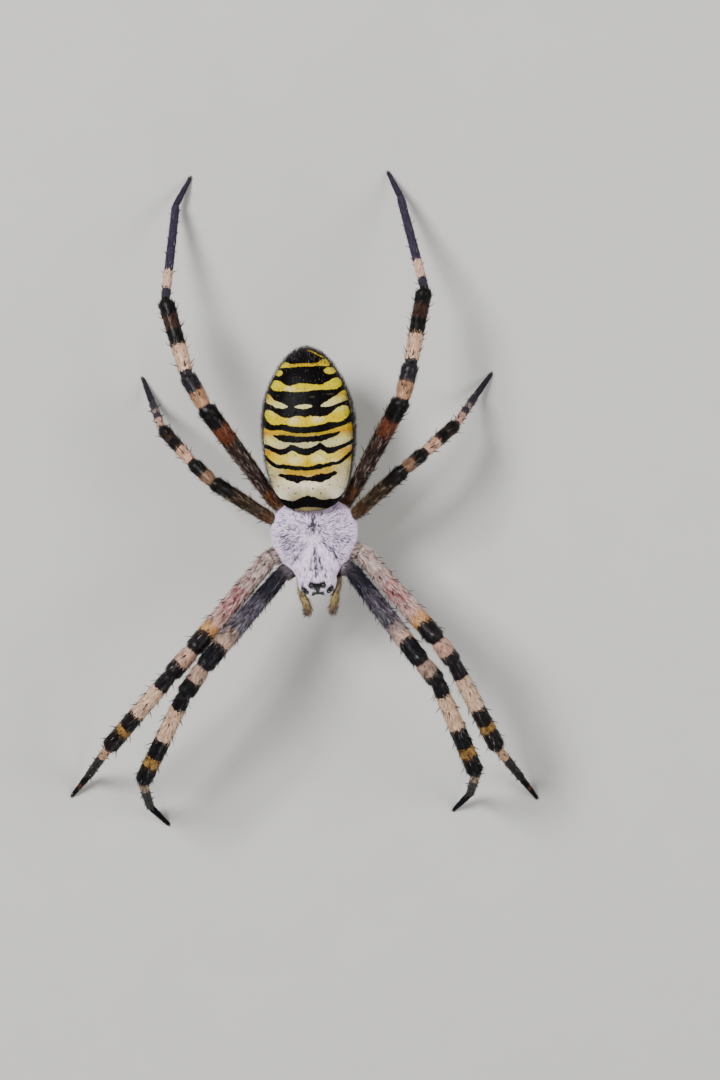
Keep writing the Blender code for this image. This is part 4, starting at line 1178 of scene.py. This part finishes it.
def make_spines(skin, side, pair, rng, look):
    reaches, angles = [], []
    for segment, rows in SPINE_ROWS.items():
        length = LENGTHS[pair][segment - 1]
        for angle, gap in rows:
            at = np.arange(rng.uniform(*SPINE_FIRST), length - 0.25, gap)
            at = at + rng.uniform(-SPINE_STRAY, SPINE_STRAY, len(at))
            reaches += list(segment + np.clip(at, SPINE_ENDS[0], length - SPINE_ENDS[1]) / length)
            angles += list(angle + rng.uniform(-SPINE_TURN, SPINE_TURN, len(at)))
    roots = picked(skin, reaches, angles)
    count = len(reaches)
    length = rng.uniform(*SPINE_LENGTH, count) * np.where(np.array(reaches) >= 4, FOOT_SPINES, 1.0)
    lift = rng.uniform(*SPINE_LIFT, count)
    lie = roots["along"] + 0.2 * rng.normal(size=(count, 3))
    name = f"spines_leg_{side}_{pair}"
    hairs(name, roots, lie, length, 0.1, lift, 0.16, look, rng, SPINE_SHAPE)


def make_claws(skin, side, pair, look):
    """Two curved claws and a small hook between them, on the tip of the foot."""
    roots = picked(skin, np.full(len(CLAW_ANGLES), skin.row["reach"].max() - 0.015), CLAW_ANGLES)
    lie = skin.row["way"][-1] - 0.1 * roots["normal"]
    name = f"claws_leg_{side}_{pair}"
    hairs(name, roots, lie, CLAW_LENGTHS, 0.055, 24, 0.55, look, seeded("claw"), SPINE_SHAPE)


def coat_leg(skin, side, pair, rng, look):
    """Fine setae lying towards the foot, some of them standing."""
    reach, count = skin.marks["reach"], COAT_COUNTS[pair]
    dense = np.where(reach < 1.7, FEMUR_DENSITY[pair], LEG_DENSITY)
    roots = skin.scatter(count, rng, dense * smooth(reach, 0.55, 0.75) * (1 - 0.8 * skin.marks["joint"]))
    standing = rng.random(count) < STANDING
    reach = roots["marks"]["reach"]
    length = rng.uniform(0.26, 0.44, count) * np.where(reach > 4, 0.62, np.where(reach < 1.9, 1.2, 1.0))
    roots["marks"]["clump"] = clumped(roots["turn"] * 48, roots["marks"]["run"] / 0.42, rng)
    lift = np.where(standing, rng.uniform(22, 46, count), rng.uniform(8, 20, count))
    lie = roots["along"] + 0.13 * rng.normal(size=(count, 3))
    width = np.where(standing, 0.017, 0.024)
    hairs(f"coat_leg_{side}_{pair}", roots, lie, length, width, lift, 0.1, look, rng)


def make_legs():
    looks = {pair: (cuticle_of_leg(pair), setae_of_leg(pair)) for pair in HIP}
    spine_look = horn("black_spine_cuticle", "050405", "120c0a", 0.35)
    claw_look = horn("brown_black_claw_horn", "1c110d", "3a2016", 0.25)
    for index, (side, pair) in enumerate(POSE):
        rng = seeded("leg", index)
        radii = ((COXA_RADIUS[pair], RADII[pair][0][0]),) + RADII[pair]
        skin = limb_skin(leg_joints(side, pair), radii, LEG_COLUMNS, LEG_SPACING, TIP_SHARE, LEG_SKIN_DEPTH)
        nodes = [f"leg_{side}_{pair}_{segment}" for segment in SEGMENTS]
        cuticle, setae = looks[pair]
        skin.piece(f"skin_leg_{side}_{pair}", cuticle, SLOTS[pair], *nodes)
        coat_leg(skin, side, pair, rng, setae)
        make_spines(skin, side, pair, rng, spine_look)
        make_claws(skin, side, pair, claw_look)


def make_palps():
    look = cuticle_of_palp()
    setae = plain_setae("brown_palp_bristles", "1c1512", "8a6a45", 0.35)
    radii = ((PALP_COXA_RADIUS, PALP_RADII[0][0]),) + PALP_RADII

    def grown(marks):
        return 1 + 0.35 * smooth(marks["reach"], 2.0, 3.9), 0

    for index, side in enumerate(SIDES):
        skin = limb_skin(palp_joints(side), radii, PALP_COLUMNS, PALP_SPACING, 0.72, 0.01)
        skin.piece(f"skin_palp_{side}", look, "amber", *(f"{part}_{side}" for part in PALP_PARTS))
        reach, name = skin.marks["reach"], f"bristles_palp_{side}"
        density = smooth(reach, 0.9, 1.4) * (0.6 + 0.4 * reach)
        bristles(name, "palp", skin, seeded("palp", index), density, setae, grown=grown)


# ---------------------------------------------------------------- jaws, mouth, waist and spinnerets

FANG_ROOT = (JAW_TOP[0] - 0.05, JAW_TOP[1] - 0.02, JAW_TOP[2] - 2 * JAW_SIZE[2] + 0.12)
FANG_PART, FANG_RADII = 0.3, ((0.13, 0.09), (0.09, 0.05))  # length of each of its two parts
MOUTH_PARTS = (  # name, centre and radius
    ("labium", (0.0, -1.62, -0.62), 0.26),
    ("maxilla_left", (0.36, -1.9, -0.55), 0.3),
    ("maxilla_right", (-0.36, -1.9, -0.55), 0.3),
)
CONES = ((0.24, -0.16, 1.0, 8), (0.2, 0.24, 0.8, 24))  # x, y, share of the full length, lean to the rear
CONE_RADII, COLLAR_RADII = (0.21, 0.17), (0.7, 0.53)
EPIGYNE_AT, EPIGYNE_RADII = 0.17, ((0.26, 0.2), (0.2, 0.1))


def jaw_point(station, angle, side):
    ring = np.sin(np.pi * station) ** 0.5
    wide, deep, tall = JAW_SIZE
    local = stacked(wide * ring * np.cos(angle), deep * ring * np.sin(angle), -2 * tall * station)
    return placed(Matrix.Translation(on_side(side, JAW_TOP)) @ turned(JAW_TILT, "X"), local)


def make_jaws(look):
    fang_look = horn("dark_red_fang_horn", "2b0f0a", "120706", 0.15)
    setae = plain_setae("stiff_jaw_setae", "17110f", "6d5a45", 0.3)
    station = np.linspace(0.01, 0.99, 60)[:, None]
    for index, side in enumerate(SIDES):
        skin = Skin(jaw_point(station, round_angles(48), side), along=station)
        skin.push(-0.025)
        skin.place(SHIELD)
        skin.piece(f"skin_chelicera_{side}", look, "amber", f"chelicera_{side}")
        density, name = smooth(skin.marks["along"], 0.25, 0.6), f"setae_chelicera_{side}"
        bristles(name, "jaw", skin, seeded("jaw", index), density, setae)
        root, inward = (np.array(on_side(side, point)) for point in (FANG_ROOT, (-0.75, 0.45, -0.5)))
        bend = root + unit(inward) * FANG_PART
        tip = bend + unit(inward + (0, 0.5, 0.35)) * FANG_PART
        fang = limb_skin([root, bend, tip], FANG_RADII, 20, 0.03, 0.35, 0.0)
        fang.marks["tip"] = fang.marks["reach"] / len(FANG_RADII)
        fang.place(SHIELD)
        fang.piece(f"fang_{side}", fang_look, "dark")


def make_mouth(look):
    """Lip and two maxillae under the head, between the jaws and the sternum."""
    for name, centre, radius in MOUTH_PARTS:
        globe(centre, (0, 1, 0), radius, 24, 32, 1.35, along=0.4).piece(name, look, "brown")


def make_waist():
    """The narrow stalk between shield and abdomen."""
    # Soft bare skin, dull and brown
    look = clouded("dull_brown_waist_cuticle", 0.2, 3.0, "2a1c16", "5d432f", roughness=0.5, ior=1.54)
    ends = [SHIELD @ Vector(end) for end in (WAIST_FROM, WAIST_TO)]
    skin = limb_skin(ends, ((WAIST_RADIUS, WAIST_RADIUS),), 32, 0.06, 1.0, 0.0)
    skin.piece("skin_waist", look, "brown")


def make_spinnerets(look, setae):
    """A collar with two pairs of jointed cones, and their hairs."""
    rng = seeded("spinneret")
    foot = abdomen_point(np.array(SPINNERET_AT), np.array(-math.pi / 2))
    cones = [("collar", foot + (0, -0.1, 0.35), foot + (0, 0.0, -0.16), *COLLAR_RADII, 0.9)]
    for x, y, share, lean in CONES:
        fall = np.array(turned(lean, "X") @ Vector((0, 0, -SPINNERET_LENGTH * share)))
        for side in SIDES:
            start = foot + on_side(side, (x, y, 0.1))
            cones.append((f"{side}_{lean}", start, start + fall, *CONE_RADII, 0.6))
    for name, start, end, near, far, tip in cones:
        joints, knee = [start, start + (end - start) * 0.62, end], (near + far) / 2
        skin = limb_skin(joints, ((near, knee), (knee, far)), 32, 0.03, tip, 0.0)
        skin.place(TAIL)
        skin.piece(f"skin_spinneret_{name}", look, "brown", *(("spinnerets",) if name == "collar" else ()))
        density = smooth(skin.marks["reach"], 0.5, 1.2) + 0.05
        way = unit(placed(TAIL, end) - placed(TAIL, start))
        bristles(f"setae_spinneret_{name}", "spinneret", skin, rng, density, setae, way)


def make_epigyne(look):
    """The scape over the female's epigastric furrow."""
    root = abdomen_point(np.array(EPIGYNE_AT), np.array(-math.pi / 2))
    joints = root + np.array(((0, -0.1, 0.15), (0, 0.05, -0.12), (0, 0.5, -0.26)))
    skin = limb_skin(joints, EPIGYNE_RADII, 24, 0.03, 0.7, 0.0)
    skin.place(TAIL)
    skin.piece("epigyne_scape", look, "brown")


# ---------------------------------------------------------------- studio

CAMERA_TILT, CAMERA_DISTANCE, CAMERA_LENS = 7.0, 0.300, 153.8
AIM_RIGHT, AIM_UP = 2.925, 0.325  # of the view's middle from the shield's
FLOOR_SIZE, AIR_STRENGTH = 6.0, 0.27
LAMPS = {  # place in metres, side in metres, watts
    "key": ((-0.16, 0.14, 0.30), 0.11, 2.05),
    "fill": ((0.24, 0.02, 0.22), 0.16, 0.62),
    "rim": ((0.02, -0.30, 0.14), 0.10, 0.32),
}


def make_studio():
    # Matt pale paper of the studio floor
    matt = {"roughness": 0.9, "specular_ior_level": 0.2}
    bpy.ops.mesh.primitive_plane_add(size=FLOOR_SIZE, location=(0, 0, 0))
    floor = bpy.context.object
    floor.name = "studio_floor"
    floor.data.materials.append(clouded("matt_studio_paper", 4.0, 4.0, "b7b6b2", "bcbbb7", **matt))
    for name, (spot, size, watts) in LAMPS.items():
        data = bpy.data.lights.new(name, "AREA")
        data.size, data.energy = size, watts
        lamp = added(name, data)
        lamp.location = spot
        lamp.rotation_euler = (-Vector(spot)).to_track_quat("-Z", "Y").to_euler()
    world = bpy.data.worlds.new("studio_air")
    world.use_nodes = True
    air = world.node_tree.nodes["Background"].inputs
    air["Color"].default_value, air["Strength"].default_value = (1.0, 1.0, 1.0, 1.0), AIR_STRENGTH
    bpy.context.scene.world = world


def make_camera():
    data = bpy.data.cameras.new("camera")
    data.lens = CAMERA_LENS
    data.clip_start, data.clip_end = 0.01, 5.0
    camera = added("camera", data)
    turn = turned(-CAMERA_TILT, "X")
    spot = SHIELD.translation * MM + turn @ Vector((AIM_RIGHT * MM, AIM_UP * MM, CAMERA_DISTANCE))
    camera.matrix_world = Matrix.Translation(spot) @ turn
    bpy.context.scene.camera = camera


make_camera()
make_studio()
abdomen_setae = plain_setae("dusky_abdomen_setae", "1a171c", "6d665f", 0.12)
abdomen = make_abdomen()
coat_abdomen(abdomen, abdomen_setae)
shield = make_prosoma()
coat_prosoma(shield)
coat_sternum(shield)
make_eyes()
make_legs()
make_palps()
jaw_look = cuticle_of_jaw()
make_jaws(jaw_look)
make_mouth(jaw_look)
make_waist()
spinneret_look = cuticle_of_spinneret()
make_spinnerets(spinneret_look, abdomen_setae)
make_epigyne(spinneret_look)
